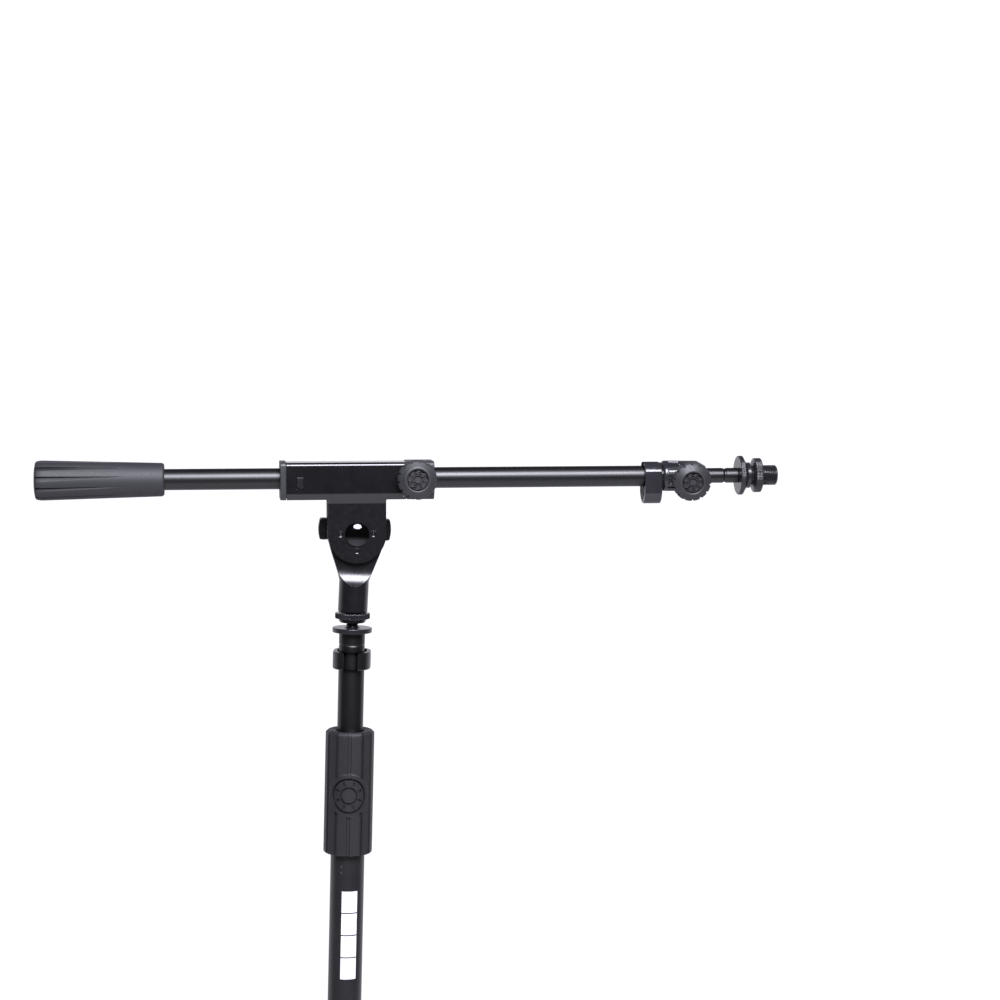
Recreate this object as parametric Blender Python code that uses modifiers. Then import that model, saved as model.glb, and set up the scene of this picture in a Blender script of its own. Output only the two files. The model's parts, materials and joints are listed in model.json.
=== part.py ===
"""Boom microphone stand: a folding tripod base, a telescoping mast with a twist clutch, and a
telescoping boom that slides and tilts in a sheet-steel head.

Lengths are in millimetres and angles in degrees until a mesh is made, where MM turns them into
metres. +Z is up, +X points along the boom towards the microphone, -Y is the side of the knobs, and
the origin lies on the floor under the mast.
"""

import math

import bmesh
import bpy
from mathutils import Matrix

MM = 0.001
GAP = 0.3  # play between pieces that touch on the real stand
WALL = 1.2  # wall of every steel tube

# --- tripod base
LEG_AZIMUTHS = (180.0, 60.0, -60.0)
LEG_R = 8.0
LEG_SLOPE = 11.45  # below horizontal when spread
LEG_START = 14.5  # from the hinge to the tube's inner end
LEG_END = 293.0  # from the hinge to the foot's outer end
HINGE_RADIUS = 36.0
HINGE_Z = 66.0
CHEEK_R = 11.0  # round end of each hinge cheek
CHEEK_HALF = 9.0  # half the width over both cheeks
SLOT_HALF = 4.9
LEG_PIN_R = 3.0
FOOT_LENGTH = 50.0
FOOT_R = 12.6
HUB_R = 24.0
HUB_BOTTOM = 40.0
HUB_TOP = 88.0
HUB_FLOOR = 46.0  # bottom of the mast's socket

# --- mast
PIVOT_X = 1.6  # the stalk leans a little on its thread
PIVOT_Z = 905.0
OUTER_R = 13.0
INNER_R = 9.9
OUTER_TOP = 712.0
INNER_BOTTOM = 110.0
BUSH_LENGTH = 32.0
GRIP_BOTTOM = 659.3
GRIP_TOP = 754.3
GRIP_R = 18.9
GRIP_FLUTES = 12
BADGE_CLEAR_R = 16.0  # the flutes stop on this circle round each badge
FLANGE_TOP = PIVOT_Z - 71.7
FLANGE_THICK = 4.0
FLANGE_R = 15.1
STUD_R = 4.7  # 3/8 inch thread
RING_R = 13.3
MAST_CLIP_Z = PIVOT_Z - 97.0
MAST_CLIP_TURN = 173.0
CLIP_WIDTH = 13.4
CLIP_MOUTH_HALF = 5.3

# --- tilting head
STALK_BOTTOM = -60.3  # from the pivot
STALK_R = 11.3
STALK_LEAN = 1.5  # away from the handle
TONGUE_HALF = 5.5
TONGUE_R = 22.0
WASHER_THICK = 1.2
PLATE = 2.2  # thickness of the head's steel sheet
FORK_INNER = TONGUE_HALF + WASHER_THICK + 2 * GAP
FORK_OUTER = FORK_INNER + PLATE
FORK_R = 22.1
BOLT_R = 4.0

# --- boom, along its own axis and measured from the pivot
BOOM_TILT = 1.4  # tip up
BOOM_HEIGHT = 42.0  # boom axis above the pivot
BOOM_R = 8.0
ROD_R = 5.8
BOOM_START = -227.7
BOOM_END = 260.5
HANDLE_START = -240.2
HANDLE_END = -144.1
HANDLE_BIG_R = 14.6
HANDLE_SMALL_R = 12.6
HEAD_HALF = 13.5
HEAD_TOP = 12.7
HEAD_BOTTOM = -15.6
HEAD_CORNER = 3.5
HEAD_START = -57.8
STEEL_START = -53.0
STEEL_END = 37.0
HEAD_END = 58.5
LATCH_X = -42.9
LATCH_Z = -2.6
CLAMP_X = 44.3
COLLAR_START = 235.9
COLLAR_END = 270.5
COLLAR_R = 11.8
ROD_CLAMP_X = 255.3
ROD_CLAMP_TURN = 8.0  # the rod's knob points this far below horizontal
BOOM_CLIP_X = 228.1
ROD_START = -165.0
MIC_FLANGE_X = 296.3
MIC_STUD_R = 7.9  # 5/8 inch thread
MIC_STUD_END = 326.8
MIC_RING_X = 307.8
MIC_RING_END = 314.1

# --- knobs
KNOB_R = 15.0
KNOB_NOTCHES = 14
SCREW_R = 3.0

TUBE_STEPS = 24
SMALL_STEPS = 20

TURN = {  # where each object's own X, Y and Z go
    "Z": Matrix(((1, 0, 0), (0, 1, 0), (0, 0, 1))),
    "X": Matrix(((0, 0, 1), (1, 0, 0), (0, 1, 0))),
    "-Y": Matrix(((1, 0, 0), (0, 0, -1), (0, 1, 0))),
}


# --- scene, collections and materials


def clear_scene():
    for obj in list(bpy.data.objects):
        bpy.data.objects.remove(obj)


def collection(name):
    made = bpy.data.collections.new(name)
    bpy.context.scene.collection.children.link(made)
    return made


def principled(name, colour, roughness, metallic=0.0):
    material = bpy.data.materials.new(name)
    material.use_nodes = True
    shader = material.node_tree.nodes["Principled BSDF"]
    shader.inputs["Base Color"].default_value = (*colour, 1.0)
    shader.inputs["Roughness"].default_value = roughness
    shader.inputs["Metallic"].default_value = metallic
    return material


clear_scene()
STAND = collection("boom_microphone_stand")
CUTTERS = collection("cutters")
PAINTED_TUBE = principled("satin_black_tube", (0.018, 0.018, 0.020), 0.35)
GLOSS_STEEL = principled("gloss_black_steel", (0.010, 0.010, 0.011), 0.12)
CAST = principled("gloss_black_casting", (0.012, 0.012, 0.013), 0.18)
GREY_PLASTIC = principled("dark_grey_plastic", (0.055, 0.055, 0.060), 0.55)
BLACK_PLASTIC = principled("black_plastic", (0.020, 0.020, 0.022), 0.40)
RUBBER = principled("soft_rubber", (0.045, 0.045, 0.050), 0.75)
BLACK_CHROME = principled("black_chrome", (0.060, 0.060, 0.065), 0.22, 1.0)
ZINC = principled("zinc_steel", (0.55, 0.55, 0.56), 0.35, 1.0)
BRASS = principled("brass", (0.70, 0.53, 0.25), 0.35, 1.0)
FIBRE = principled("friction_fibre", (0.10, 0.08, 0.06), 0.85)
PALE_NYLON = principled("natural_nylon", (0.72, 0.70, 0.64), 0.50)


# --- builders


def frame(name, location=(0, 0, 0), turns=(0, 0, 0), parent=None):
    """An empty at a place in millimetres, turned by degrees about X, Y and Z."""
    empty = bpy.data.objects.new(name, None)
    STAND.objects.link(empty)
    empty.location = [c * MM for c in location]
    empty.rotation_euler = [math.radians(t) for t in turns]
    empty.parent = parent
    return empty


def place(obj, home, at=(0, 0, 0), along="Z", material=None):
    """Puts obj at a place in home's frame, with its own Z along the named direction."""
    if obj.name not in STAND.objects:
        STAND.objects.link(obj)
    obj.parent = home
    obj.location = [c * MM for c in at]
    obj.rotation_euler = TURN[along].to_euler()
    if material:
        obj.data.materials.append(material)
    return obj


def ring_area(points):
    turned_on = points[1:] + points[:1]
    return sum(a[0] * b[1] - b[0] * a[1] for a, b in zip(points, turned_on)) / 2


def turned(name, profile, steps=TUBE_STEPS):
    """A lathe shape about Z. The profile is (radius, height) points: a closed ring off the axis, or
    a line from the axis at the top to the axis at the bottom."""
    solid = profile[0][0] == 0
    points = list(profile)
    if not solid and ring_area(points) > 0:
        points.reverse()
    if solid and points[0][1] < points[-1][1]:
        points.reverse()
    edges = [(i, i + 1) for i in range(len(points) - 1)]
    if not solid:
        edges.append((len(points) - 1, 0))
    mesh = bpy.data.meshes.new(name)
    mesh.from_pydata([(r * MM, 0, z * MM) for r, z in points], edges, [])
    obj = bpy.data.objects.new(name, mesh)
    screw = obj.modifiers.new("turn", "SCREW")
    screw.steps = steps
    screw.render_steps = steps
    screw.use_merge_vertices = True
    screw.merge_threshold = 0.00001
    return obj


def tube(name, inner, outer, bottom, top, steps=TUBE_STEPS):
    ring = [(outer, top), (outer, bottom), (inner, bottom), (inner, top)]
    return turned(name, ring, steps)


def pin(name, radius, bottom, top, steps=SMALL_STEPS):
    return turned(name, [(0, top), (radius, top), (radius, bottom), (0, bottom)], steps)


def plate(name, loops, low, high):
    """A flat outline, with holes after it, between two heights along its own Z."""
    curve = bpy.data.curves.new(name + "_outline", "CURVE")
    curve.dimensions = "2D"
    curve.fill_mode = "BOTH"
    curve.extrude = (high - low) / 2 * MM
    for loop in loops:
        spline = curve.splines.new("POLY")
        spline.points.add(len(loop) - 1)
        for point, (u, v) in zip(spline.points, loop):
            point.co = (u * MM, v * MM, 0, 1)
        spline.use_cyclic_u = True
    outline = bpy.data.objects.new(name + "_outline", curve)
    STAND.objects.link(outline)
    bpy.context.view_layer.update()
    graph = bpy.context.evaluated_depsgraph_get()
    mesh = bpy.data.meshes.new_from_object(outline.evaluated_get(graph))
    bpy.data.objects.remove(outline)
    shape = bmesh.new()
    shape.from_mesh(mesh)
    bmesh.ops.remove_doubles(shape, verts=shape.verts, dist=0.000001)
    bmesh.ops.translate(shape, verts=shape.verts, vec=(0, 0, (low + high) / 2 * MM))
    bmesh.ops.recalc_face_normals(shape, faces=shape.faces)
    shape.to_mesh(mesh)
    shape.free()
    mesh.name = name
    return bpy.data.objects.new(name, mesh)


def boxes(name, spans):
    """One mesh of separate boxes, each given by its lowest and highest corner and its turn about Z."""
    shape = bmesh.new()
    for low, high, turn in spans:
        size = Matrix.Diagonal([(h - l) * MM for l, h in zip(low, high)] + [1])
        middle = Matrix.Translation([(h + l) / 2 * MM for l, h in zip(low, high)])
        turn_about_z = Matrix.Rotation(math.radians(turn), 4, "Z")
        bmesh.ops.create_cube(shape, size=1.0, matrix=turn_about_z @ middle @ size)
    mesh = bpy.data.meshes.new(name)
    shape.to_mesh(mesh)
    shape.free()
    return bpy.data.objects.new(name, mesh)


def box(name, low, high):
    return boxes(name, [(low, high, 0)])


def combine(obj, helper, home, operation, at=(0, 0, 0), along="Z"):
    """Cuts helper from obj, or joins it on, with a Boolean. The helper itself isn't shown."""
    place(helper, home, at, along)
    STAND.objects.unlink(helper)
    CUTTERS.objects.link(helper)
    helper.hide_render = True
    helper.display_type = "WIRE"
    boolean = obj.modifiers.new(helper.name, "BOOLEAN")
    boolean.operation = operation
    boolean.solver = "EXACT"
    boolean.object = helper
    return obj


def arc(centre, radius, start, end, count):
    """Points on a circle from one angle to another."""
    turns = [math.radians(start + (end - start) * i / (count - 1)) for i in range(count)]
    return [(centre[0] + radius * math.cos(t), centre[1] + radius * math.sin(t)) for t in turns]


def circle(centre, radius, count):
    return arc(centre, radius, 0, 360 - 360 / count, count)


# --- tripod base


def hub_body():
    core = [(0, HUB_FLOOR), (OUTER_R + GAP, HUB_FLOOR), (OUTER_R + GAP, HUB_TOP)]
    core += [(HUB_R - 4, HUB_TOP), (HUB_R, HUB_TOP - 6), (HUB_R, HUB_BOTTOM + 3)]
    core += [(HUB_R - 3, HUB_BOTTOM), (0, HUB_BOTTOM)]
    hub = place(turned("hub_body", core), None, material=CAST)
    arm = arc((HINGE_RADIUS, HINGE_Z), CHEEK_R, -90, 90, 13)
    arm += [(OUTER_R + 5, HINGE_Z + CHEEK_R), (OUTER_R + 5, HINGE_Z - CHEEK_R)]
    for number, azimuth in enumerate(LEG_AZIMUTHS, 1):
        home = frame(f"arm_frame_{number}", turns=(0, 0, azimuth))
        cheeks = plate(f"hub_arm_{number}", [arm], -CHEEK_HALF, CHEEK_HALF)
        combine(hub, cheeks, home, "UNION", along="-Y")
        slot = box(f"hub_slot_{number}", (HUB_R + 0.8, -SLOT_HALF, 45), (60, SLOT_HALF, 90))
        combine(hub, slot, home, "DIFFERENCE")
        hole = pin(f"hub_pin_hole_{number}", LEG_PIN_R + GAP, -20, 20)
        combine(hub, hole, home, "DIFFERENCE", (HINGE_RADIUS, 0, HINGE_Z), "-Y")


def hub_fittings():
    cover = [(0, 39.7), (HUB_R - 3.5, 39.7), (HUB_R - 3.5, 37.5), (HUB_R - 6, 35.5), (0, 35.5)]
    place(turned("hub_bottom_cover", cover), None, material=BLACK_PLASTIC)
    nut = tube("hub_lock_nut", OUTER_R + GAP, 20.5, HUB_TOP + GAP, HUB_TOP + 15, 32)
    place(nut, None, material=BLACK_PLASTIC)
    low, high = (19.3, -1.2, HUB_TOP - 2), (23, 1.2, HUB_TOP + 17)
    notches = boxes("lock_nut_notches", [(low, high, 360 / 16 * i) for i in range(16)])
    combine(nut, notches, None, "DIFFERENCE")


def leg_foot(name, home):
    """A rubber end cap on the leg's end, cut flat where it stands on the floor."""
    start = LEG_END - FOOT_LENGTH
    profile = [(0, LEG_END), (9, LEG_END), (FOOT_R, LEG_END - 4), (FOOT_R, LEG_END - 22)]
    profile += [(11, start + 5), (9.8, start), (LEG_R + GAP, start)]
    profile += [(LEG_R + GAP, LEG_END - 9 + GAP), (0, LEG_END - 9 + GAP)]
    foot = place(turned(name, profile, 24), home, along="X", material=RUBBER)
    below_floor = box(name + "_floor_cut", (-400, -400, -30), (400, 400, 0))
    combine(foot, below_floor, None, "DIFFERENCE")


def leg_knuckle(name, home):
    """The flat tongue that turns in the hub, with a plug for the leg tube."""
    tongue = arc((0, 0), 9.5, 60, 300, 17) + [(13.5, -7.5), (13.5, 7.5)]
    knuckle = plate(name, [tongue], -SLOT_HALF + GAP, SLOT_HALF - GAP)
    place(knuckle, home, along="-Y", material=CAST)
    plug = [(0, 40), (LEG_R - WALL - GAP, 40), (LEG_R - WALL - GAP, LEG_START - GAP)]
    plug += [(LEG_R, LEG_START - GAP), (LEG_R, 12.2), (0, 12.2)]
    combine(knuckle, turned(name + "_plug", plug, 24), home, "UNION", along="X")
    hole = pin(name + "_hole", LEG_PIN_R + GAP, -20, 20)
    combine(knuckle, hole, home, "DIFFERENCE", along="-Y")


def legs():
    for number, azimuth in enumerate(LEG_AZIMUTHS, 1):
        turn = math.radians(azimuth)
        hinge = (HINGE_RADIUS * math.cos(turn), HINGE_RADIUS * math.sin(turn), HINGE_Z)
        level = frame(f"hinge_frame_{number}", hinge, (0, 0, azimuth))
        home = frame(f"leg_frame_{number}", (0, 0, 0), (0, LEG_SLOPE, 0), level)
        leg = tube(f"leg_tube_{number}", LEG_R - WALL, LEG_R, LEG_START, LEG_END - 9, 24)
        place(leg, home, along="X", material=PAINTED_TUBE)
        leg_knuckle(f"leg_knuckle_{number}", home)
        leg_foot(f"leg_foot_{number}", home)
        head, half = LEG_PIN_R + 1.6, CHEEK_HALF + GAP
        rivet = [(0, half + 1.5), (head, half + 1.5), (head, half), (LEG_PIN_R, half)]
        rivet += [(LEG_PIN_R, -half), (head, -half), (head, -half - 1.5), (0, -half - 1.5)]
        place(turned(f"leg_pin_{number}", rivet, 16), level, along="-Y", material=ZINC)


# --- mast


def outer_tube():
    barrel = tube("mast_outer_tube", OUTER_R - WALL, OUTER_R, HUB_FLOOR + GAP, OUTER_TOP)
    place(barrel, None, material=PAINTED_TUBE)


def clutch():
    """The twist clutch: a socket on the outer tube, a split collet, and the nut inside the grip."""
    socket = [(14.6, 724), (14.6, 665), (OUTER_R + GAP, 665), (OUTER_R + GAP, OUTER_TOP + GAP)]
    socket += [(INNER_R + 1.2, OUTER_TOP + GAP), (INNER_R + 1.2, 724)]
    place(turned("clutch_socket", socket), None, material=PALE_NYLON)
    collet = [(14.0, 727), (11.6, 744), (INNER_R + GAP, 744), (INNER_R + GAP, 724.4), (14.0, 724.4)]
    split = place(turned("clutch_collet", collet, 24), None, material=PALE_NYLON)
    combine(split, box("collet_slit", (5, -1.5, 720), (20, 1.5, 750)), None, "DIFFERENCE")
    nut = tube("clutch_nut", 15.0, 16.3, 665, 747)
    place(nut, None, material=BLACK_PLASTIC)
    grip = [(INNER_R + 0.6, GRIP_TOP), (GRIP_R - 1.6, GRIP_TOP), (GRIP_R, GRIP_TOP - 1.8)]
    grip += [(GRIP_R, GRIP_BOTTOM + 1.8), (GRIP_R - 1.6, GRIP_BOTTOM), (OUTER_R + 0.6, GRIP_BOTTOM)]
    grip += [(OUTER_R + 0.6, 664.5), (16.6, 664.5), (16.6, 747.5), (INNER_R + 0.6, 747.5)]
    sleeve = place(turned("clutch_grip", grip, 36), None, material=RUBBER)
    combine(sleeve, flutes(), None, "DIFFERENCE")


def flutes():
    """Shallow channels along the grip, broken where the front and back badges are."""
    middle = (GRIP_BOTTOM + GRIP_TOP) / 2
    spans = []
    for i in range(GRIP_FLUTES):
        angle = 360 / GRIP_FLUTES * i
        aside = GRIP_R * math.cos(math.radians(angle))
        stop = math.sqrt(max(BADGE_CLEAR_R**2 - aside**2, 0))
        near, far = (GRIP_R - 0.8, -1.5), (GRIP_R + 3, 1.5)
        if stop > 0:
            spans.append(((*near, GRIP_BOTTOM - 2), (*far, middle - stop), angle))
            spans.append(((*near, middle + stop), (*far, GRIP_TOP + 2), angle))
        else:
            spans.append(((*near, GRIP_BOTTOM - 2), (*far, GRIP_TOP + 2), angle))
    return boxes("grip_flutes", spans)


def inner_tube():
    under_flange = FLANGE_TOP - FLANGE_THICK - GAP
    slider = tube("mast_inner_tube", INNER_R - WALL, INNER_R, INNER_BOTTOM, under_flange)
    place(slider, None, material=PAINTED_TUBE)
    top = INNER_BOTTOM + BUSH_LENGTH - 10
    bush = [(OUTER_R - WALL - GAP, top), (OUTER_R - WALL - GAP, top - BUSH_LENGTH)]
    bush += [(INNER_R - 2, top - BUSH_LENGTH), (INNER_R - 2, INNER_BOTTOM - GAP)]
    bush += [(INNER_R + GAP, INNER_BOTTOM - GAP), (INNER_R + GAP, top)]
    place(turned("mast_guide_bush", bush, 24), None, material=PALE_NYLON)


def mast_top():
    bottom = FLANGE_TOP - FLANGE_THICK
    bore = STUD_R + GAP
    plug = [(bore, FLANGE_TOP), (FLANGE_R - 0.7, FLANGE_TOP), (FLANGE_R, FLANGE_TOP - 0.8)]
    plug += [(FLANGE_R, bottom + 0.8), (FLANGE_R - 0.7, bottom), (INNER_R - WALL - GAP, bottom)]
    plug += [(INNER_R - WALL - GAP, bottom - 24), (bore, bottom - 24)]
    place(turned("mast_top_plug", plug), None, material=BLACK_CHROME)
    stud = pin("mast_stud", STUD_R, bottom - 20, PIVOT_Z + STALK_BOTTOM + 16, 20)
    place(stud, None, material=BLACK_CHROME)
    top = PIVOT_Z + STALK_BOTTOM - 0.6
    ring = [(bore, top), (RING_R - 0.5, top), (RING_R, top - 0.5)]
    ring += [(RING_R, top - 3.7), (RING_R - 0.5, top - 4.2), (10.3, top - 4.2)]
    ring += [(10.3, top - 6.1), (9.0, top - 7.3), (bore, top - 7.3)]
    place(turned("mast_lock_ring", ring), None, material=BLACK_CHROME)


def clip_outline(tube_radius, wall, reach):
    """A long C that snaps on a tube at its open end, with room for a cable at its closed end."""
    inner, outer = tube_radius + GAP, tube_radius + GAP + wall
    mouth_out = math.degrees(math.asin(CLIP_MOUTH_HALF / outer))
    mouth_in = math.degrees(math.asin(CLIP_MOUTH_HALF / inner))
    outside = arc((0, 0), outer, 90 - mouth_out, 0, 8) + arc((0, -reach), outer, 0, -180, 15)
    outside += arc((0, 0), outer, 180, 90 + mouth_out, 8)
    inside = arc((0, 0), inner, 90 + mouth_in, 180, 8) + arc((0, -reach), inner, 180, 360, 15)
    inside += arc((0, 0), inner, 0, 90 - mouth_in, 8)
    return outside + inside


def mast_clip():
    home = frame("mast_clip_frame", (0, 0, MAST_CLIP_Z), (0, 0, MAST_CLIP_TURN))
    outline = clip_outline(INNER_R, 4.2, 8.4)
    clip = plate("mast_cable_clip", [outline], -CLIP_WIDTH / 2, CLIP_WIDTH / 2)
    place(clip, home, material=BLACK_PLASTIC)


# --- tilting head, in a frame at the pivot


def stalk(home):
    """The casting on the mast's stud: a round stem that is scooped flat into a tongue."""
    stem = [(0, -26), (STALK_R, -26), (STALK_R, STALK_BOTTOM + 1), (STALK_R - 1, STALK_BOTTOM)]
    stem += [(8.3, STALK_BOTTOM), (8.3, STALK_BOTTOM + 17), (0, STALK_BOTTOM + 17)]
    casting = turned("swivel_stalk", stem)
    place(casting, home, material=CAST)
    neck_z = -36.0
    lean = math.degrees(math.atan2(-neck_z, STALK_R))
    touch = math.degrees(math.acos(TONGUE_R / math.hypot(neck_z, STALK_R)))
    outline = arc((0, 0), TONGUE_R, touch - lean, 180 - touch + lean, 25)
    outline += [(-STALK_R + 1, neck_z), (-7, neck_z - 4), (7, neck_z - 4), (STALK_R - 1, neck_z)]
    tongue = plate("stalk_tongue", [outline], -TONGUE_HALF - 1, TONGUE_HALF + 1)
    combine(casting, tongue, home, "UNION", along="-Y")
    for side in (1, -1):
        name = "stalk_scoop_front" if side == 1 else "stalk_scoop_back"
        combine(casting, plate(name, [scoop_outline(side)], -40, 40), home, "DIFFERENCE", along="X")
    hole = pin("stalk_pivot_hole", BOLT_R + GAP, -20, 20)
    combine(casting, hole, home, "DIFFERENCE", along="-Y")


def scoop_outline(side):
    """The hollow, in Y and Z, that thins the stem to the tongue on one side."""
    radius, start_z = 21.0, -25.0
    run = arc((-TONGUE_HALF - radius, start_z), radius, 0, -52, 9)
    outline = [(-TONGUE_HALF, 40)] + run + [(-40, run[-1][1]), (-40, 40)]
    return [(y * side, z) for y, z in outline]


def stalk_fittings(home):
    bore = STUD_R + 2 * GAP  # room for the lean
    inside = [(bore, STALK_BOTTOM + 16.5), (8.0, STALK_BOTTOM + 16.5)]
    inside += [(8.0, STALK_BOTTOM + 0.5), (bore, STALK_BOTTOM + 0.5)]
    place(turned("stalk_thread_insert", inside, 24), home, material=BRASS)
    near = TONGUE_HALF + GAP
    for name, low in (("friction_washer_front", near), ("friction_washer_rear", -near - WASHER_THICK)):
        washer = tube(name, BOLT_R + GAP, 19, low, low + WASHER_THICK, 24)
        place(washer, home, along="-Y", material=FIBRE)


def pivot_hardware(home):
    outside = FORK_OUTER + GAP
    bolt = [(0, outside + 5.2), (4.5, outside + 4.5), (7.6, outside + 2.6), (9.2, outside)]
    bolt += [(BOLT_R, outside), (BOLT_R, -23), (0, -23)]
    place(turned("pivot_bolt", bolt, 24), home, along="-Y", material=BLACK_CHROME)
    washer = tube("pivot_washer", BOLT_R + GAP, 8.5, -outside - 1.5, -outside, 20)
    place(washer, home, along="-Y", material=ZINC)
    top = -outside - 1.5 - GAP
    half_span, half_height = 29.3, 8.6
    wings = arc((half_span - 5, 0), half_height, -80, 80, 9)
    wings += [(10, 7), (-10, 7)]
    wings += arc((-half_span + 5, 0), half_height, 100, 260, 9)
    wings += [(-10, -7), (10, -7)]
    wings = [(max(-half_span, min(half_span, u)), v) for u, v in wings]
    nut = plate("tilt_wing_nut", [wings], top - 13, top - 4)
    place(nut, home, along="-Y", material=BLACK_PLASTIC)
    barrel = pin("wing_nut_hub", 10.5, top - 15, top)
    combine(nut, barrel, home, "UNION", along="-Y")
    bore = pin("wing_nut_bore", 6.3, top - 12, top + 5)
    combine(nut, bore, home, "DIFFERENCE", along="-Y")
    insert = tube("wing_nut_insert", BOLT_R + GAP, 6.0, top - 11.5, top - 0.5, 20)
    place(insert, home, along="-Y", material=BRASS)


def head_section(half, top, bottom, corner, gap=0.0):
    """Half of the head's outline, in Y and Z from its top, pulled in by gap."""
    run = arc((half - corner, top - corner), corner - gap, 90, 0, 6)
    return run + [(half - gap, -11 + 0.4 * gap), (FORK_OUTER - gap, bottom + gap)]


def mirrored(half):
    """A full outline from the half of it at positive Y."""
    return half + [(-y, z) for y, z in reversed(half)]


def head_steel(home):
    """One folded sheet: an inverted channel round the boom, with its lips carried down as a fork."""
    outer = head_section(HEAD_HALF, HEAD_TOP, HEAD_BOTTOM, HEAD_CORNER)
    inner = arc((HEAD_HALF - HEAD_CORNER, HEAD_TOP - HEAD_CORNER), HEAD_CORNER - PLATE, 0, 90, 6)
    inner = [(FORK_INNER, HEAD_BOTTOM), (FORK_INNER, -14.9), (HEAD_HALF - PLATE, -10.2)] + inner
    ring = outer + inner + [(-y, z) for y, z in reversed(inner)] + [(-y, z) for y, z in reversed(outer)]
    steel = plate("boom_housing", [ring], STEEL_START, STEEL_END)
    place(steel, home, (0, 0, BOOM_HEIGHT), "X", GLOSS_STEEL)
    top = BOOM_HEIGHT + HEAD_BOTTOM + 0.6
    cheek = arc((0, 0), FORK_R, 180, 360, 25) + [(FORK_R, top), (-FORK_R, top)]
    hole = circle((0, 0), BOLT_R + GAP, 20)
    for name, low in (("fork_front", FORK_INNER), ("fork_back", -FORK_OUTER)):
        combine(steel, plate(name, [cheek, hole], low, low + PLATE), home, "UNION", along="-Y")
    window = box("latch_window", (LATCH_X - 3, -20, -4.5), (LATCH_X + 3, -8, 4.5))
    combine(steel, window, home, "DIFFERENCE", (0, 0, BOOM_HEIGHT + LATCH_Z))


def head_caps(home):
    """The plastic ends of the head. The one towards the tip is a block that carries the clamp."""
    face = mirrored(head_section(HEAD_HALF + 0.3, HEAD_TOP + 0.5, HEAD_BOTTOM, HEAD_CORNER - 1))
    hole = circle((0, 0), BOOM_R + GAP, 28)
    plug = mirrored(head_section(HEAD_HALF, HEAD_TOP, HEAD_BOTTOM, HEAD_CORNER, PLATE + GAP))
    at = (0, 0, BOOM_HEIGHT)
    rear = place(
        plate("housing_cap_rear", [face, hole], HEAD_START, STEEL_START - GAP), home, at, "X", GREY_PLASTIC
    )
    spigot = plate("rear_spigot", [plug, hole], STEEL_START - 1, LATCH_X + 4.5)
    combine(rear, spigot, home, "UNION", at, "X")
    latch = box("rear_latch", (LATCH_X - 2.7, -HEAD_HALF + 0.6, -4.2), (LATCH_X + 2.7, -10, 4.2))
    combine(rear, latch, home, "UNION", (0, 0, BOOM_HEIGHT + LATCH_Z))
    front = plate("housing_cap_front", [face, hole], STEEL_END + GAP, HEAD_END)
    place(front, home, at, "X", GREY_PLASTIC)
    spigot = plate("front_spigot", [plug, hole], STEEL_END - 7, STEEL_END + 1)
    combine(front, spigot, home, "UNION", at, "X")
    at_clamp = (CLAMP_X, 0, BOOM_HEIGHT)
    combine(front, pin("clamp_boss", 7.0, 12, 17.4), home, "UNION", at_clamp, "-Y")
    combine(front, pin("clamp_insert_hole", 5.3, 10.8, 30), home, "DIFFERENCE", at_clamp, "-Y")
    combine(front, pin("clamp_pad_hole", 3.8, 5, 12), home, "DIFFERENCE", at_clamp, "-Y")
    liner = tube("boom_guide_liner", BOOM_R + GAP, 10.1, LATCH_X + 5, STEEL_END - 7.5, 24)
    place(liner, home, at, "X", PALE_NYLON)


# --- knobs and clamps


def knob(name, home, at, base):
    """A notched hand knob about the outward direction, with a dished face."""
    profile = [(8.0, base + 11.6), (8.8, base + 12.6), (10.2, base + 12.6), (11.0, base + 11.6)]
    profile += [(14.4, base + 8.6), (KNOB_R, base + 7.6), (KNOB_R, base + 3.2), (14.2, base + 2.4)]
    profile += [(9.0, base + 2.4), (9.0, base), (SCREW_R + GAP, base)]
    profile += [(SCREW_R + GAP, base + 8.3), (0, base + 8.3)]
    dial = turned(name, [(0, base + 11.6)] + profile, 28)
    place(dial, home, at, "-Y", GREY_PLASTIC)
    low, high = (KNOB_R - 1.2, -1.1, base - 2), (KNOB_R + 3, 1.1, base + 15)
    spread = 360 / KNOB_NOTCHES
    notches = boxes(name + "_notches", [(low, high, spread * i) for i in range(KNOB_NOTCHES)])
    combine(dial, notches, home, "DIFFERENCE", at, "-Y")


def clamp(prefix, home, at, tube_radius, insert_start, base):
    """The knob's screw, the threaded insert it turns in, and the pad it presses on the tube."""
    knob(prefix + "_knob", home, at, base)
    pad = pin(prefix + "_pad", 3.4, tube_radius + GAP, insert_start - 0.7, 16)
    place(pad, home, at, "-Y", PALE_NYLON)
    screw = pin(prefix + "_screw", SCREW_R, insert_start - GAP, base + 8, 16)
    place(screw, home, at, "-Y", ZINC)
    insert = tube(prefix + "_insert", SCREW_R + GAP, 5.0, insert_start + 0.1, base - 0.6, 16)
    place(insert, home, at, "-Y", BRASS)


# --- boom


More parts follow.
